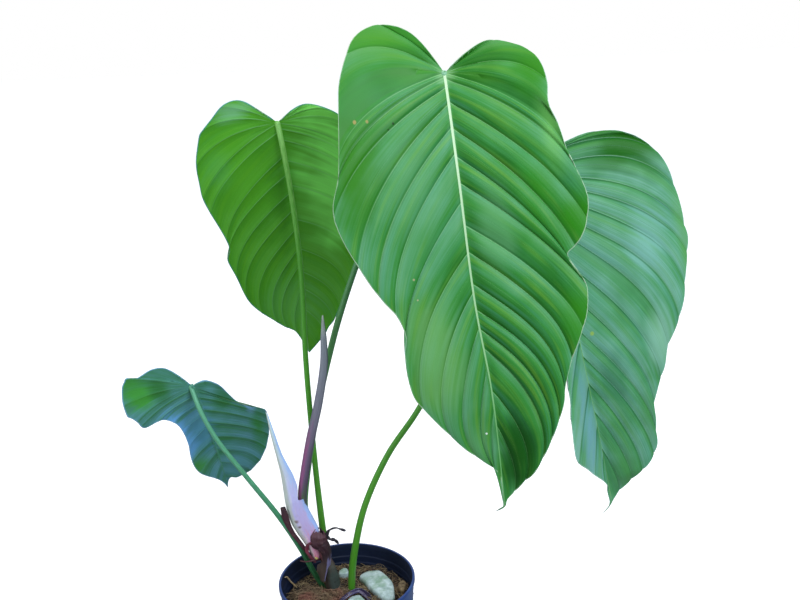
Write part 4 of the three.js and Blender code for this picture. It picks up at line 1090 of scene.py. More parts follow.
# Smooth leaf stalk: satin green with fine lengthwise flecks, darker low down and paler at the top
STALK_SKIN = {"length": 560, "gloss": 0.4, "along": 0.12, "around": 24.0, "swing": 0.14, "strength": 0.3,
              "coat": (0.1, 0.3)}
YELLOW_GREEN_STALK = [(0.0, "#4a8a24"), (0.3, "#4d9c1e"), (0.7, "#52a82c"), (1.0, "#8ccc62")]
SKINS = {
    "stalk_skin_left": {**STALK_SKIN, "bands": YELLOW_GREEN_STALK},
    "stalk_skin_right": {**STALK_SKIN, "bands": YELLOW_GREEN_STALK},
    "stalk_skin_front": {**STALK_SKIN, "bands": [
        (0.0, "#4f8a3c"), (0.3, "#4f9046"), (0.55, "#5a9a60"), (1.0, "#8abf90")]},
    "stalk_skin_small": {**STALK_SKIN, "bands": [
        (0.0, "#2c6a38"), (0.25, "#3f8c5e"), (0.5, "#62aa80"), (1.0, "#7cb890")]},
    # Corky stem: dull grey-green bark with fine dark pits, pink where it is young
    "corky_stem_skin": {
        "bands": [(0.0, "#262e29"), (0.3, "#333d36"), (0.55, "#414b42"), (0.7, "#5a4a3e"), (0.85, "#a0606c"),
                  (1.0, "#8a4a5a")],
        "length": 92, "gloss": 0.55, "flanks": [["#3d2c22", 0.75, 0.76, 0.64, 1, 1.1]],
        "pits": [["#1c1f1a", 0.6]], "depth": 0.5},
    # Air root, dry and dull red-brown, and a smooth yellow bud
    "air_root_skin": {"bands": [(0.0, "#3a1c1e"), (1.0, "#5a3030")], "length": 40},
    "bud_skin": {"bands": [(0.0, "#b9a84a"), (1.0, "#dcd27c")], "length": 8, "gloss": 0.45},
    # Fleshy young sheath: pale and waxy, rose at its foot, with a cream flank, blue flanks that are a painted
    # reflection of the sky, and two bruises
    "fleshy_pale_sheath": {
        "bands": [(0.0, "#c25a70"), (0.05, "#e49ab0"), (0.13, "#dca0bc"), (0.22, "#c9b2dc"),
                  (0.42, "#c4bce8"), (0.7, "#cfdfe6"), (1.0, "#cfe6e2")],
        "length": 190, "gloss": 0.4,
        "flanks": [["#e6ebdf", 0.92, 0.75, 0.64, 1, 1.1], ["#a6caff", 0.8, 0.86, 0.93, 1, 1.1],
                   ["#a4c8fb", 0.7, 0.76, 0.86, 0.6, 0.46], ["#c47482", 0.6, 0.69, 0.6, 0.1, 0.2]],
        "specks": [["#5a3c28", 0.9, (-46.2, -8.4, 200), 2.6], ["#7a5a3c", 0.75, (-49, -9.2, 207), 3.2]],
        "pits": [["#9a7a5a", 0.1]], "coat": (0.15, 0.3)},
    # Dead sheath: matt papery brown with deep wrinkles, and one painted lilac highlight where a curled edge
    # catches the light
    "dry_old_sheath": {
        "bands": [(0.0, "#4a3f35"), (0.3, "#493b31"), (0.45, "#38282a"), (0.58, "#2a1219"), (0.78, "#3c1a24"),
                  (1.0, "#5a363c")],
        "length": 66, "flanks": [["#8f8bb8", 0.6, 0.8, 0.83, 0.42, 0.5]], "pits": [["#6a4a3c", 0.2]],
        "depth": 0.6, "around": 22.0},
    # Its torn ends, dried almost black, and the fold that is still dark red
    "black_torn_sheath": {"bands": [(0.0, "#1a1017"), (1.0, "#211a26")], "length": 30},
    "red_torn_sheath": {"bands": [(0.0, "#4f1c28"), (0.5, "#7c3040"), (1.0, "#5a2430")], "length": 30,
                        "gloss": 0.55},
    # Dry strap of sheath: dull red-brown and coarsely wrinkled
    "dry_strap_skin": {
        "bands": [(0.0, "#2c1a24"), (0.12, "#46262e"), (0.6, "#4e2630"), (1.0, "#54202a")], "length": 85,
        "gloss": 0.65, "pits": [["#75564a", 0.3]], "depth": 0.7},
    # Rolled new leaf: smooth and softly shining, mauve over green, dark along the edge of the roll
    "rolled_leaf_skin": {
        "bands": [(0.0, "#4a6a38"), (0.1, "#4e6440"), (0.16, "#66506a"), (0.35, "#6f6078"), (0.55, "#7f7c88"),
                  (0.9, "#8f949c"), (1.0, "#b9c2b4")],
        "length": 222, "gloss": 0.4,
        "flanks": [["#7d5c94", 0.7, 0.6, 0.54, 1, 1.1], ["#9a5480", 0.85, 0.77, 0.68, 0.3, 0.52],
                   ["#4a3a48", 0.5, 0.77, 0.83, 0.3, 0.5], ["#222c48", 0.85, 0.88, 0.95, 1, 1.1]],
        "coat": (0.12, 0.3)},
    # Fallen sheath, wet: dark violet with a hard shine
    "wet_fallen_sheath": {"bands": [(0.0, "#2b2436"), (0.5, "#4a3f63"), (1.0, "#2b2030")], "length": 60,
                          "gloss": 0.22, "coat": (0.5, 0.12)},
}

# Soil, stone, bark and fibre: shades of a broken colour with that many waves to a metre, so that 300 has
# grains of 3 mm, and a skin that looks grain millimetres rough. A patch is [colour, share, waves to a metre].
GROUNDS = {
    # Damp peat and bark dust: matt and almost black, broken by paler bits
    "damp_potting_mix": {
        "shades": [(0.3, "#0f0c0a"), (0.5, "#241c16"), (0.62, "#40332a"), (0.8, "#6a5644")],
        "waves": 300.0, "gloss": 0.85, "grain": 1.2},
    # Crumbs of bark: dull mid brown
    "bark_crumb": {"shades": [(0.3, "#20170f"), (0.5, "#4a3623"), (0.75, "#8a6d4c")],
                   "waves": 400.0, "gloss": 0.8, "grain": 0.6},
    # Dry needles and rootlets: straw-coloured and a little smoother
    "dry_litter": {"shades": [(0.3, "#4f3c2a"), (0.5, "#84704f"), (0.75, "#b8a379")],
                   "waves": 300.0, "gloss": 0.7, "grain": 0.2},
    # Matted coir: dark and matt, reddish in patches, with pale single fibres over it
    "matted_coir": {"shades": [(0.3, "#0f0b08"), (0.5, "#2b1f18"), (0.75, "#523e31")],
                    "waves": 500.0, "gloss": 0.9, "grain": 1.4, "patches": [["#7a4c3e", 0.6, 45.0]]},
    "coir_fibre": {"shades": [(0.3, "#463426"), (0.5, "#7c6448"), (0.75, "#ab9470")],
                   "waves": 300.0, "gloss": 0.65, "grain": 0.1, "patches": [["#96604e", 0.8, 45.0]]},
    # One old root, bleached and dry
    "dry_pale_root": {"shades": [(0.3, "#a08458"), (0.7, "#d8c092")], "waves": 200.0, "gloss": 0.7,
                      "grain": 0.2},
    # Weathered limestone: chalky and pale, green with algae in patches
    "weathered_limestone": {
        "shades": [(0.3, "#839a90"), (0.48, "#a9bdb6"), (0.62, "#c4d3cf"), (0.8, "#e2e4da")],
        "waves": 120.0, "gloss": 0.8, "grain": 1.2, "patches": [["#668f60", 0.55, 70.0]]},
    # Pine bark: rough, fawn and brown
    "pine_bark": {"shades": [(0.3, "#3a2b1d"), (0.5, "#786549"), (0.75, "#ab956d")],
                  "waves": 260.0, "gloss": 0.85, "grain": 1.2},
}


# Settings that a user may change


def length_setting(name, description, default, highest):
    return bpy.props.FloatProperty(name=name, description=description, default=default, min=0.0, max=highest,
                                   precision=4, subtype="DISTANCE", unit="LENGTH")


def gloss_setting(description, default):
    return bpy.props.FloatProperty(name="Roughness", description=description, default=default, min=0.1,
                                   max=0.9, subtype="FACTOR")


def colour_setting(name, description, code):
    return bpy.props.FloatVectorProperty(name=name, description=description, default=colour(code)[:3], size=3,
                                         min=0.0, max=1.0, subtype="COLOR")


def count_setting(name, description, default):
    return bpy.props.IntProperty(name=name, description=description, default=default, min=0, max=3000)


class LeafSettings(bpy.types.PropertyGroup):
    """Sizes and gloss of the leaf blades."""

    thickness: length_setting("Thickness", "Thickness of a blade between its veins", 0.0007, 0.0012)
    vein_depth: length_setting("Vein depth", "How deep the main veins are sunk below the folds between them",
                               0.0017, 0.003)
    gloss: gloss_setting("Roughness of the upper skin", 0.4)


class PotSettings(bpy.types.PropertyGroup):
    """Colour and gloss of the pot."""

    body: colour_setting("Outside", "Colour of the plastic outside", "#10346e")
    # The inside colour is the outside plastic darkened: a painted shade
    shaded: colour_setting("Inside", "Colour of the plastic inside", "#07162f")
    gloss: gloss_setting("Roughness of the plastic", 0.32)


class FillingSettings(bpy.types.PropertyGroup):
    """How much loose stuff lies on the mix."""

    coir_fibres: count_setting("Coir fibres", "Number of fibres that stand out of the coir", 560)
    litter: count_setting("Litter", "Number of dry needles and rootlets on the mix", 800)
    crumbs: count_setting("Crumbs", "Number of bark and soil crumbs on the mix", 1200)
    seed: count_setting("Seed", "Which random scatter is drawn", 7)


class StageSettings(bpy.types.PropertyGroup):
    """Light and floor."""

    floor_glow: bpy.props.FloatProperty(
        name="Floor glow", description="How much the floor is lifted towards white", default=0.35, min=0.0,
        max=2.0)
    sky: colour_setting("Sky", "Colour of the soft light from all round", "#eef4ff")
    sky_strength: bpy.props.FloatProperty(
        name="Sky strength", description="Strength of the soft light from all round", default=0.75, min=0.0,
        max=5.0)
    floor: colour_setting("Floor", "Colour of the floor", "#fbfaf8")


# Operators, one for each piece or group of like pieces


class PHILODENDRON_OT_stage(bpy.types.Operator):
    """Sets the camera where the picture was taken, with a pale floor and soft light"""

    bl_idname = "philodendron.stage"
    bl_label = "Stage"

    def execute(self, context):
        settings = context.scene.philodendron_stage
        context.scene.view_settings.view_transform = "Standard"
        self.camera(context.scene)
        self.sky(context.scene, settings)
        self.floor(context.scene, settings)
        for name, place, aim, size, power, tint in LAMPS:
            light = bpy.data.lights.new(name, "AREA")
            light.shape = "SQUARE"
            light.size = size
            light.energy = power
            light.color = colour(tint)[:3]
            lamp = bpy.data.objects.new(name, light)
            lamp.location = place
            lamp.rotation_euler = (Vector(aim) - Vector(place)).to_track_quat("-Z", "Y").to_euler()
            context.scene.collection.objects.link(lamp)
        return {"FINISHED"}

    def camera(self, scene):
        data = bpy.data.cameras.new("camera")
        data.lens = CAMERA_LENS
        data.sensor_width = CAMERA_SENSOR
        data.sensor_fit = "HORIZONTAL"
        data.clip_start, data.clip_end = CAMERA_CLIP
        data.dof.use_dof = False
        camera = bpy.data.objects.new("camera", data)
        look = Vector((0, math.cos(CAMERA_PITCH), -math.sin(CAMERA_PITCH)))
        level = Vector((1, 0, 0))
        upright = level.cross(look)
        right = math.cos(CAMERA_ROLL) * level + math.sin(CAMERA_ROLL) * upright
        up = -math.sin(CAMERA_ROLL) * level + math.cos(CAMERA_ROLL) * upright
        facing = Matrix((right, up, -look)).transposed().to_4x4()
        camera.matrix_world = Matrix.Translation(CAMERA_PLACE) @ facing
        scene.collection.objects.link(camera)
        scene.camera = camera

    def sky(self, scene, settings):
        """A sky bright overhead and dim towards the ground, as under open shade; the camera sees it white."""
        world = bpy.data.worlds.new("soft_sky")
        scene.world = world
        world.use_nodes = True
        tree = world.node_tree
        tree.nodes.clear()
        way = add_node(tree, "ShaderNodeTexCoord").outputs["Generated"]
        upward = add_node(tree, "ShaderNodeSeparateXYZ", {0: way}).outputs[2]
        height = add_node(tree, "ShaderNodeMapRange", {0: upward, **from_to(-0.1, 0.9, 0.25, 1.3)}, **SMOOTH)
        strength = add_node(tree, "ShaderNodeMath", {0: height, 1: settings.sky_strength},
                            operation="MULTIPLY")
        around = add_node(tree, "ShaderNodeBackground", {
            "Color": tuple(settings.sky) + (1,), "Strength": strength})
        seen = add_node(tree, "ShaderNodeBackground", {"Color": "#ffffff", "Strength": 1.0})
        path = add_node(tree, "ShaderNodeLightPath").outputs["Is Camera Ray"]
        mixed = add_node(tree, "ShaderNodeMixShader", {0: path, 1: around, 2: seen})
        add_node(tree, "ShaderNodeOutputWorld", {"Surface": mixed})

    def floor(self, scene, settings):
        """A floor that reads white to its far edge, and throws little light back up."""
        mesh = bpy.data.meshes.new("floor")
        half = FLOOR_HALF
        mesh.from_pydata([(-half, -half, 0), (half, -half, 0), (half, half, 0), (-half, half, 0)], [],
                         [(0, 1, 2, 3)])
        material, tree = new_material("pale_floor")
        pale = add_node(tree, "ShaderNodeBsdfPrincipled", {
            "Roughness": 0.9, "Emission Strength": settings.floor_glow, "Emission Color": "#ffffff",
            "Base Color": tuple(settings.floor) + (1,)})
        dull = add_node(tree, "ShaderNodeBsdfDiffuse", {"Color": "#8f9490"})
        path = add_node(tree, "ShaderNodeLightPath").outputs["Is Camera Ray"]
        mixed = add_node(tree, "ShaderNodeMixShader", {0: path, 1: dull, 2: pale})
        add_node(tree, "ShaderNodeOutputMaterial", {"Surface": mixed})
        mesh.materials.append(material)
        floor = bpy.data.objects.new("floor", mesh)
        scene.collection.objects.link(floor)


class PHILODENDRON_OT_blades(bpy.types.Operator):
    """Makes the four leaf blades with their sunken veins, midribs and rounded margins"""

    bl_idname = "philodendron.blades"
    bl_label = "Leaf blades"

    def execute(self, context):
        settings = context.scene.philodendron_leaf
        for name, leaf in LEAVES.items():
            form = blade_form(leaf, settings.vein_depth / MM, settings.thickness / MM)
            upper = leaf_material(f"waxy_upper_face_{name}", UPPER[name], settings.gloss)
            under = leaf_material(f"satin_under_face_{name}", UNDER[name], settings.gloss + UNDER_DULLER)
            form.piece(f"leaf_blade_{name}", [upper, under], LEAF_SLOTS[name], [f"blade_{name}"],
                       ("marks", "weave", "place"))
        return {"FINISHED"}


class PHILODENDRON_OT_stalks(bpy.types.Operator):
    """Makes the four leaf stalks"""

    bl_idname = "philodendron.stalks"
    bl_label = "Leaf stalks"

    def execute(self, context):
        for name, stalk in STALKS.items():
            slot = "petiole_blue_green" if name == "small" else "petiole_green"
            Form().tube(stalk, 20, 140, dome=(0.2, 0.6)).piece(
                f"leaf_stalk_{name}", [skin_material(f"stalk_skin_{name}")], slot, [f"petiole_{name}"])
        return {"FINISHED"}


class PHILODENDRON_OT_stem(bpy.types.Operator):
    """Makes the short stem with its leaf scars, a bud and an air root"""

    bl_idname = "philodendron.stem"
    bl_label = "Stem"

    def execute(self, context):
        def scars(share, angle):
            rings = sum(np.exp(-((share - at) / 0.012) ** 2) for at in (0.3, 0.44, 0.56, 0.7))
            return 1 + 0.035 * rings + 0.03 * np.sin(3 * angle + 20 * share) + 0.02 * np.sin(7 * angle)

        form = Form().tube(STEM, 36, 100, swell=scars)
        form.tube(STEM_ROOT, 10, 30, finish=1)
        form.tube(STEM_BUD, 14, 16, finish=2)
        skins = [skin_material(name) for name in ("corky_stem_skin", "air_root_skin", "bud_skin")]
        form.piece("short_stem", skins, "stem", ["stem"])
        return {"FINISHED"}


class PHILODENDRON_OT_sheaths(bpy.types.Operator):
    """Makes the pale sheath, the dry old sheath with its torn strips, and the dry strap"""

    bl_idname = "philodendron.sheaths"
    bl_label = "Sheaths"

    def execute(self, context):
        self.pale()
        self.old()
        self.strap()
        return {"FINISHED"}

    def pale(self):
        def facing(share):
            return blend(250, 200, smoothstep(share, *SHEATH_OPENING)) + 15 * smoothstep(share, *SHEATH_TIP)

        def span(share):
            return blend(345, 200, smoothstep(share, *SHEATH_OPENING)) + 30 * smoothstep(share, *SHEATH_TIP)

        def top(turn):
            return 1 - 0.02 * np.abs(turn)

        def keel(share, angle):
            turn = angle / (2 * np.pi) - 0.7
            return 1 + 0.08 * np.exp(-(turn / 0.03) ** 2) - 0.03 * np.exp(-((np.abs(turn) - 0.1) / 0.05) ** 2)

        form = Form().shell(PALE_SHEATH, facing, span, top, keel, wall=1.1, around=64, steps=160)
        form.piece("pale_leaf_sheath", [skin_material("fleshy_pale_sheath")], "pale_sheath", ["pale_sheath"])

    def old(self):
        def edges(share):
            """Where the sheath's two edges are: a strip turns to the front, then opens to a hood."""
            turned = smoothstep(share, *STRIP_TURN)
            hood = smoothstep(share, *HOOD_EDGE)
            return blend(blend(195, 250, turned), 90, hood), blend(blend(305, 430, turned), 440, hood)

        def facing(share):
            return sum(edges(share)) / 2

        def span(share):
            begin, end = edges(share)
            return end - begin

        def ragged(turn):
            return 0.95 + 0.03 * np.sin(2 * np.pi * 4 * turn + 1) + 0.02 * np.sin(2 * np.pi * 11 * turn)

        def wrinkle(share, angle):
            folds = 0.04 * np.sin(7 * angle + 14 * share) + 0.02 * np.sin(17 * angle - 9 * share)
            collar = 0.02 * np.sin(50 * share + 2 * np.sin(angle)) * smoothstep(share, 0.5, 0.6)
            return 1 + (folds + collar) * smoothstep(share, 0, 0.2)

        def knotted(share, angle):
            return 1 + 0.25 * np.sin(17 * share + 2 * angle)

        form = Form().shell(OLD_SHEATH, facing, span, ragged, wrinkle, wall=0.7, around=96, steps=90)
        for tear in OLD_SHEATH_TEARS:
            form.tube(tear, 12, 40, finish=tear["finish"], swell=knotted)
        skins = [skin_material(name) for name in ("dry_old_sheath", "black_torn_sheath", "red_torn_sheath")]
        form.piece("torn_old_sheath", skins, "old_sheath", ["old_sheath"])

    def strap(self):
        form = Form().shell(DRY_STRAP, lambda share: 270, lambda share: 215,
                            lambda turn: 1 + 0.03 * np.sin(9 * turn),
                            lambda share, angle: 1 + 0.1 * np.sin(5 * angle + 9 * share),
                            wall=0.5, around=24, steps=80)
        form.piece("dry_sheath_strap", [skin_material("dry_strap_skin")], "dry_strap", ["dry_strap"])


class PHILODENDRON_OT_new_leaf(bpy.types.Operator):
    """Makes the new leaf, still rolled in a spear, with the edge of the roll as a seam"""

    bl_idname = "philodendron.new_leaf"
    bl_label = "New leaf"

    def execute(self, context):
        def roll(share, angle):
            turn = angle / (2 * np.pi)
            lap = 0.10 * smoothstep(turn, 0.80, 0.86) * (1 - smoothstep(turn, 0.86, 0.875))
            return 1 - 0.03 * np.cos(2 * angle) + lap - 0.07 * np.exp(-((turn - 0.885) / 0.012) ** 2)

        form = Form().tube(NEW_LEAF, 72, 160, dome=(0.2, 1.2), swell=roll)
        form.piece("rolled_new_leaf", [skin_material("rolled_leaf_skin")], "new_leaf", ["new_leaf"])
        return {"FINISHED"}


class PHILODENDRON_OT_pot(bpy.types.Operator):
    """Makes the nursery pot with its rolled rim, the rings under it and the drain holes"""

    bl_idname = "philodendron.pot"
    bl_label = "Pot"

    def execute(self, context):
        settings = context.scene.philodendron_pot
        plastic = pot_material("moulded_blue_plastic", tuple(settings.body) + (1,), "#3f6fae", settings.gloss,
                               0.15)
        # The inside is the same plastic as the outside, coloured darker: a painted shade inside the pot
        inside = pot_material("painted_shade_inside_plastic", tuple(settings.shaded) + (1,), "#12284c",
                              settings.gloss + 0.2, 0.0)
        outline = rounded(pot_outline(), POT["corner"])
        sides = POT["segments"]
        angle = np.linspace(0, 2 * np.pi, sides, endpoint=False)
        radius, height = outline[:, :1], outline[:, 1:]
        sag = POT["sag"] * np.sin(3 * angle + 1) * smoothstep(height, 60, POT["height"]) * (radius > 1)
        faces = closed_faces(len(outline), sides)
        form = Form().add(ring_round(radius + sag, height, angle), faces)
        rim = int(outline[:, 1].argmax())
        form.finish = [int(i // sides > rim + 2) for i in range(len(faces))]
        self.drill(form.piece("nursery_pot", [plastic, inside], "pot_plastic", ["pot"]))
        return {"FINISHED"}

    def drill(self, pot):
        """Cuts the drain holes through the pot's floor."""
        bm = bmesh.new()
        circle, radius = POT["drain_circle"] * MM, POT["drain_radius"] * MM
        for i in range(POT["drain_holes"]):
            turn = (i + 0.5) / POT["drain_holes"] * 2 * math.pi
            across, deep = circle * math.cos(turn), circle * math.sin(turn)
            place = Matrix.Translation((across, deep, POT["floor"] * MM / 2))
            bmesh.ops.create_cone(bm, cap_ends=True, segments=32, radius1=radius, radius2=radius,
                                  depth=POT["drill"] * MM, matrix=place)
        mesh = bpy.data.meshes.new("drills")
        bm.to_mesh(mesh)
        bm.free()
        drills = bpy.data.objects.new("drills", mesh)
        bpy.context.scene.collection.objects.link(drills)
        cut = pot.modifiers.new("drain_holes", "BOOLEAN")
        cut.operation = "DIFFERENCE"
        cut.solver = "EXACT"
        cut.object = drills
        keep_result(pot, cut)
        bpy.data.objects.remove(drills)


def keep_result(piece, modifier):
    """Makes what a modifier gives the piece's own plain mesh."""
    graph = bpy.context.evaluated_depsgraph_get()
    made = bpy.data.meshes.new_from_object(piece.evaluated_get(graph))
    piece.modifiers.remove(modifier)
    piece.data = made


def pot_outline():
    """The pot's whole profile as [radius, height], from the middle of the foot out, up, over and back in."""
    p = POT
    wall_thickness = p["wall"]
    collar_top = p["height"] - p["rim_band"]
    step_radius = p["body_top_radius"] + p["collar_step"]
    wall = [[p["base_radius"] - 1.5, 0], [p["base_radius"], 1.5], [p["body_top_radius"], p["collar_bottom"]],
            [step_radius, p["collar_bottom"] + 1]]
    for ring in range(p["rings"]):
        z = p["collar_bottom"] + 6 + ring * p["ring_pitch"]
        rise = (z - p["collar_bottom"]) / (collar_top - p["collar_bottom"])
        r = blend(step_radius, p["collar_radius"], rise)
        wall += [[r, z], [r + p["ring_depth"], z + 1.2]]
    wall += [[p["collar_radius"], collar_top - 0.8], [p["rim_radius"], collar_top],
             [p["rim_radius"], p["height"] - 0.6]]
    rim_inside = p["collar_radius"] - wall_thickness
    inside = [[p["base_radius"] - wall_thickness, p["floor"]],
              *([r - wall_thickness, z] for r, z in wall[2:-2]),
              [rim_inside, collar_top], [rim_inside + 0.5, p["height"]]]
    return [[0.01, 0], *wall, [p["rim_radius"] - 0.6, p["height"]], *inside[::-1], [0.01, p["floor"]]]


def rounded(outline, radius, steps=3):
    """The outline with each corner rounded off as a moulded edge is."""
    outline = np.array(outline, float)
    made = [outline[0]]
    for before, corner, after in zip(outline, outline[1:], outline[2:]):
        arms = []
        for other in (before, after):
            arm = other - corner
            arms.append(corner + arm * min(0.4, radius / np.linalg.norm(arm)))
        for k in range(steps + 1):
            s = k / steps
            made.append((1 - s) ** 2 * arms[0] + 2 * s * (1 - s) * corner + s ** 2 * arms[1])
    made.append(outline[-1])
    return np.array(made)


def mix_height(x, y):
    swell = np.sin(x / 9 + 1) * np.cos(y / 11 - 2)
    crumbs = 0.6 * np.sin((x - y) / 6) + 0.4 * np.cos((x + 2 * y) / 5)
    return MIX["top"] + MIX["bump"] * 0.5 * (swell + crumbs)


class PHILODENDRON_OT_mix(bpy.types.Operator):
    """Makes the potting mix with its loose crumbs and litter"""

    bl_idname = "philodendron.mix"
    bl_label = "Potting mix"

    def execute(self, context):
        settings = context.scene.philodendron_filling
        outline = pot_outline()
        inner_wall = outline[-2:len(outline) // 2:-1]
        levels = [[r - MIX["clearance"], z] for r, z in inner_wall if z < MIX["wall_top"]]
        levels[0][1] += MIX["clearance"]
        widest = levels[-1][0]
        angle = np.linspace(0, 2 * np.pi, MIX["segments"], endpoint=False)
        walls = [ring_round(r, z, angle) for r, z in levels]
        top = []
        for i in range(MIX["rings"], -1, -1):
            r = widest * max(i / MIX["rings"], 0.002)
            top.append(ring_round(r, mix_height(r * np.cos(angle), r * np.sin(angle)), angle))
        top = np.array(top)
        settled = smoothstep(widest - np.hypot(top[..., 0], top[..., 1]), 0, 4)
        top[..., 2] += MIX["crumb"] * settled * (ripple(top, 5, 2) + 0.5 * ripple(top, 1.8, 4))
        points = np.concatenate([np.array(walls), top])

        # Loose stuff falls where the mark is 1: on the top, clear of the wall
        marks = np.zeros(points.shape[:2])
        marks[len(walls) + 2:] = 1
        form = Form().add(points, closed_faces(len(points), MIX["segments"]), marks)
        piece = form.piece("potting_mix_surface", [ground_material("damp_potting_mix")], "potting_mix",
                           ["potting_mix"])
        scatter(piece, "loose_crumbs", crumb_tree(), {
            "Count": settings.crumbs, "Size": 0.0016, "Seed": settings.seed,
            "Finish": ground_material("bark_crumb")})
        scatter(piece, "dry_litter", strand_tree(), {
            "Count": settings.litter, "Length": 0.019, "Thickness": 0.00035, "Rise": 0.25, "Lean": 0.35,
            "Seed": settings.seed + 1, "Finish": ground_material("dry_litter")})
        return {"FINISHED"}


class PHILODENDRON_OT_coir(bpy.types.Operator):
    """Makes the mat of coir with fibres arching out of it, and a dry root against the pot"""

    bl_idname = "philodendron.coir"
    bl_label = "Coir"

    def execute(self, context):
        settings = context.scene.philodendron_filling
        ball = bmesh.new()
        bmesh.ops.create_icosphere(ball, subdivisions=5, radius=1.0)
        points = np.array([v.co for v in ball.verts])
        faces = [[v.index for v in f.verts] for f in ball.faces]
        ball.free()
        form = Form()
        for mound in COIR:
            heap = points * np.array(mound["half"])
            heap = heap * (1 + 0.16 * ripple(heap, 9, 11) + 0.06 * ripple(heap, 2.5, 5))[:, None]
            heap = heap @ np.array(Matrix.Rotation(-math.radians(mound["turn"]), 3, "Z"))
            form.add(heap + np.array(mound["centre"]), faces, heap[:, 2] > 0)
        piece = form.piece("coir_mat", [ground_material("matted_coir")], "coir", ["coir_tuft"])
        scatter(piece, "coir_fibres", strand_tree(), {
            "Count": settings.coir_fibres, "Length": 0.021, "Thickness": 0.00036, "Rise": 0.35, "Lean": 0.5,
            "Seed": settings.seed, "Finish": ground_material("coir_fibre")})
        Form().tube(PALE_ROOT, 10, 40).piece("pale_dry_root", [ground_material("dry_pale_root")], "coir", [])
        return {"FINISHED"}


class PHILODENDRON_OT_stones(bpy.types.Operator):
    """Makes the stones, the bark chip and the fallen sheath that lie on the mix"""

    bl_idname = "philodendron.stones"
    bl_label = "Stones and bark"

    def execute(self, context):
        finishes = {"stone": ground_material("weathered_limestone"), "bark": ground_material("pine_bark")}
        for name, lump in STONES.items():
            slot = name.split("_")[0]
            stone_form(lump).piece(f"{name}_body", [finishes[slot]], slot, [name])
        form = Form().shell(FALLEN_SHEATH, lambda share: 90, lambda share: 300, lambda turn: 1,
                            lambda share, angle: 1 + 0.12 * np.sin(2.5 * angle + 11 * share),
                            wall=0.6, around=32, steps=70)
        form.piece("fallen_dark_sheath", [skin_material("wet_fallen_sheath")], "fallen_sheath",
                   ["fallen_sheath"])
        return {"FINISHED"}


def stone_form(lump):
    """A worn flat stone: its outline drawn round, drawn in at the edge and over the top, and roughened."""
    outline = np.array(lump["outline"] + lump["outline"][:1], float)
    middle = outline[:-1].mean(axis=0)
    ring = plain_curve(outline, np.linspace(0, 1, STONE_SIDES, endpoint=False), (outline[-2], outline[1]))
    if np.cross(ring - middle, np.roll(ring, -1, axis=0) - middle).sum() < 0:
        ring = ring[::-1]
    bottom, top = lump["bottom"], lump["top"]
    rows = []
    for scale, rise in STONE_PROFILE:
        flat = (ring - middle) * scale
        height = blend(bottom, top, rise) + flat @ np.array(lump["tilt"])
        rows.append(np.column_stack([middle + flat, height]))
    points = np.array(rows)
    away = unit(points - np.array([*middle, (bottom + top) / 2]))
    points = points + away * (lump["rough"] * ripple(points, 6, lump["seed"], 5))[..., None]
    return Form().add(points, closed_faces(len(STONE_PROFILE), STONE_SIDES))


# Scattering with geometry nodes


def new_tree(name, inputs):
    """An empty tree of geometry nodes whose inputs have these names and defaults; a finish has none."""
    kinds = {int: "NodeSocketInt", float: "NodeSocketFloat", type(None): "NodeSocketMaterial"}
    tree = bpy.data.node_groups.new(name, "GeometryNodeTree")
    tree.interface.new_socket("Geometry", in_out="INPUT", socket_type="NodeSocketGeometry")
    for label, default in inputs.items():
        socket = tree.interface.new_socket(label, in_out="INPUT", socket_type=kinds[type(default)])
        if default is not None:
            socket.default_value = default
    tree.interface.new_socket("Geometry", in_out="OUTPUT", socket_type="NodeSocketGeometry")
    return tree, add_node(tree, "NodeGroupInput").outputs


def scatter_on(tree, given, shape, turn, smallest, largest):
    """Puts shape at random places on the ground where its first mark is 1, turned up to turn both ways and
    scaled at random, makes it real, gives it its finish and joins the ground."""
    mark = add_node(tree, "GeometryNodeInputNamedAttribute", {"Name": "marks"}, data_type="FLOAT_VECTOR")
    first = add_node(tree, "ShaderNodeSeparateXYZ", {0: mark}).outputs[0]
    on_top = add_node(tree, "FunctionNodeCompare", {0: first, 1: 0.5}, data_type="FLOAT",
                      operation="GREATER_THAN")
    area = add_node(tree, "GeometryNodeAttributeStatistic", {
        0: given["Geometry"], 1: on_top, 2: add_node(tree, "GeometryNodeInputMeshFaceArea")},
        data_type="FLOAT", domain="FACE").outputs["Sum"]
    density = add_node(tree, "ShaderNodeMath", {0: given["Count"], 1: area}, operation="DIVIDE")
    points = add_node(tree, "GeometryNodeDistributePointsOnFaces", {
        "Mesh": given["Geometry"], "Selection": on_top, "Density": density, "Seed": given["Seed"]},
        distribute_method="RANDOM").outputs["Points"]
    back = add_node(tree, "ShaderNodeVectorMath", {0: turn, "Scale": -1.0}, operation="SCALE")
    rotation = add_node(tree, "FunctionNodeRandomValue", {0: back, 1: turn, "Seed": given["Seed"]},
                        data_type="FLOAT_VECTOR")
    scale = add_node(tree, "FunctionNodeRandomValue", {0: smallest, 1: largest, "Seed": given["Seed"]},
                     data_type="FLOAT_VECTOR")
    placed = add_node(tree, "GeometryNodeInstanceOnPoints", {
        "Points": points, "Instance": shape, "Rotation": rotation, "Scale": scale})
    real = add_node(tree, "GeometryNodeRealizeInstances", {0: placed})
    smooth = add_node(tree, "GeometryNodeSetShadeSmooth", {0: real})
    finished = add_node(tree, "GeometryNodeSetMaterial", {"Geometry": smooth, "Material": given["Finish"]})
    joined = add_node(tree, "GeometryNodeJoinGeometry", {0: finished})
    tree.links.new(given["Geometry"], joined.inputs[0])
    add_node(tree, "NodeGroupOutput", {0: joined})
    return tree


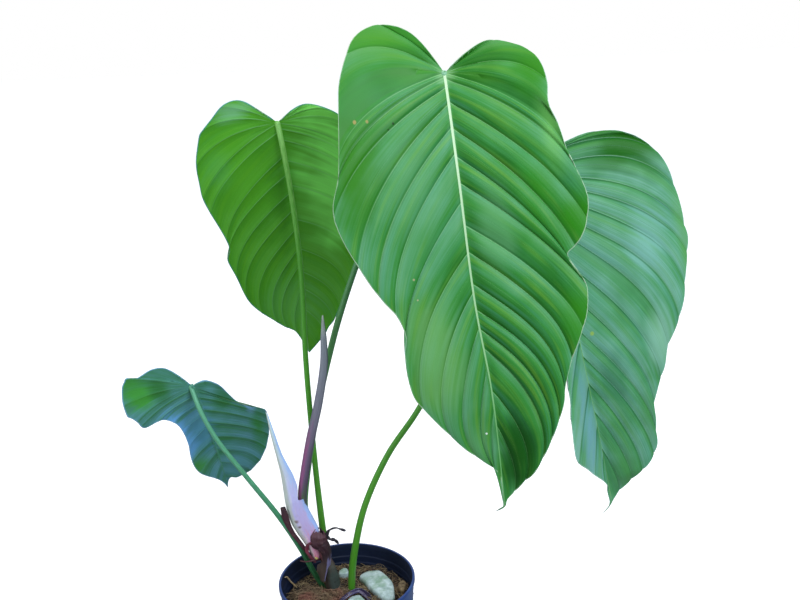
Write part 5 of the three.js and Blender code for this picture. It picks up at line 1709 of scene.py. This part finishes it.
def strand_tree():
    """Fine bent strands lying on or arching out of the ground: coir fibres, dry needles and rootlets."""
    tree, given = new_tree("strands", {
        "Count": 100, "Length": 0.015, "Thickness": 0.0003, "Rise": 0.2, "Lean": 0.3, "Seed": 0,
        "Finish": None})
    half, back, sway, height = (
        add_node(tree, "ShaderNodeMath", {0: given["Length"], 1: part}, operation="MULTIPLY")
        for part in (0.5, -0.5, 0.25, given["Rise"]))
    arc = add_node(tree, "GeometryNodeCurveQuadraticBezier", {
        "Resolution": 6,
        "Start": add_node(tree, "ShaderNodeCombineXYZ", {0: back}),
        "Middle": add_node(tree, "ShaderNodeCombineXYZ", {1: sway, 2: height}),
        "End": add_node(tree, "ShaderNodeCombineXYZ", {0: half})})
    section = add_node(tree, "GeometryNodeCurvePrimitiveCircle", {
        "Resolution": 4, "Radius": given["Thickness"]})
    strand = add_node(tree, "GeometryNodeCurveToMesh", {
        "Curve": arc, "Profile Curve": section, "Fill Caps": True})
    lean = add_node(tree, "ShaderNodeCombineXYZ", {0: given["Lean"], 1: given["Lean"], 2: math.pi})
    return scatter_on(tree, given, strand, lean, (0.45, 0.4, 0.3), (1.15, 1.2, 1.2))


def crumb_tree():
    """Small angular crumbs of soil and bark on the ground."""
    tree, given = new_tree("crumbs", {"Count": 100, "Size": 0.0015, "Seed": 0, "Finish": None})
    ball = add_node(tree, "GeometryNodeMeshIcoSphere", {"Radius": given["Size"], "Subdivisions": 2})
    ruffle = add_node(tree, "ShaderNodeTexNoise", {"Scale": 900.0}).outputs["Color"]
    push = add_node(tree, "ShaderNodeVectorMath", {0: ruffle, 1: (0.0016,) * 3, 2: (-0.0008,) * 3},
                    operation="MULTIPLY_ADD")
    rough = add_node(tree, "GeometryNodeSetPosition", {"Geometry": ball.outputs["Mesh"], "Offset": push})
    return scatter_on(tree, given, rough, (3.0, 3.0, 3.0), (0.35, 0.3, 0.25), (1.3, 1.1, 0.8))


def scatter(piece, name, tree, values):
    """Runs a tree on a piece with these inputs, and keeps the result as the piece's plain mesh."""
    modifier = piece.modifiers.new(name, "NODES")
    modifier.node_group = tree
    for item in tree.interface.items_tree:
        if item.in_out == "INPUT" and item.name in values:
            modifier[item.identifier] = values[item.name]
    keep_result(piece, modifier)


class PHILODENDRON_PT_panel(bpy.types.Panel):
    """Lists the makers of the plant's pieces and their settings"""

    bl_idname = "PHILODENDRON_PT_panel"
    bl_label = "Potted philodendron"
    bl_space_type = "VIEW_3D"
    bl_region_type = "UI"
    bl_category = "Philodendron"

    def draw(self, context):
        scene = context.scene
        for operator in OPERATORS:
            self.layout.operator(operator.bl_idname)
        for name in SETTINGS:
            group = getattr(scene, name)
            box = self.layout.box()
            for prop in type(group).__annotations__:
                box.prop(group, prop)


OPERATORS = (
    PHILODENDRON_OT_stage, PHILODENDRON_OT_blades, PHILODENDRON_OT_stalks, PHILODENDRON_OT_stem,
    PHILODENDRON_OT_sheaths, PHILODENDRON_OT_new_leaf, PHILODENDRON_OT_pot, PHILODENDRON_OT_mix,
    PHILODENDRON_OT_coir, PHILODENDRON_OT_stones,
)
SETTINGS = {
    "philodendron_leaf": LeafSettings, "philodendron_pot": PotSettings,
    "philodendron_filling": FillingSettings, "philodendron_stage": StageSettings,
}


def register():
    for group in SETTINGS.values():
        bpy.utils.register_class(group)
    for name, group in SETTINGS.items():
        setattr(bpy.types.Scene, name, bpy.props.PointerProperty(type=group))
    for operator in OPERATORS:
        bpy.utils.register_class(operator)
    bpy.utils.register_class(PHILODENDRON_PT_panel)


def unregister():
    bpy.utils.unregister_class(PHILODENDRON_PT_panel)
    for operator in reversed(OPERATORS):
        bpy.utils.unregister_class(operator)
    for name in SETTINGS:
        delattr(bpy.types.Scene, name)
    for group in reversed(SETTINGS.values()):
        bpy.utils.unregister_class(group)


def main():
    register()
    for operator in OPERATORS:
        group, name = operator.bl_idname.split(".")
        getattr(getattr(bpy.ops, group), name)()


if __name__ == "__main__":
    main()
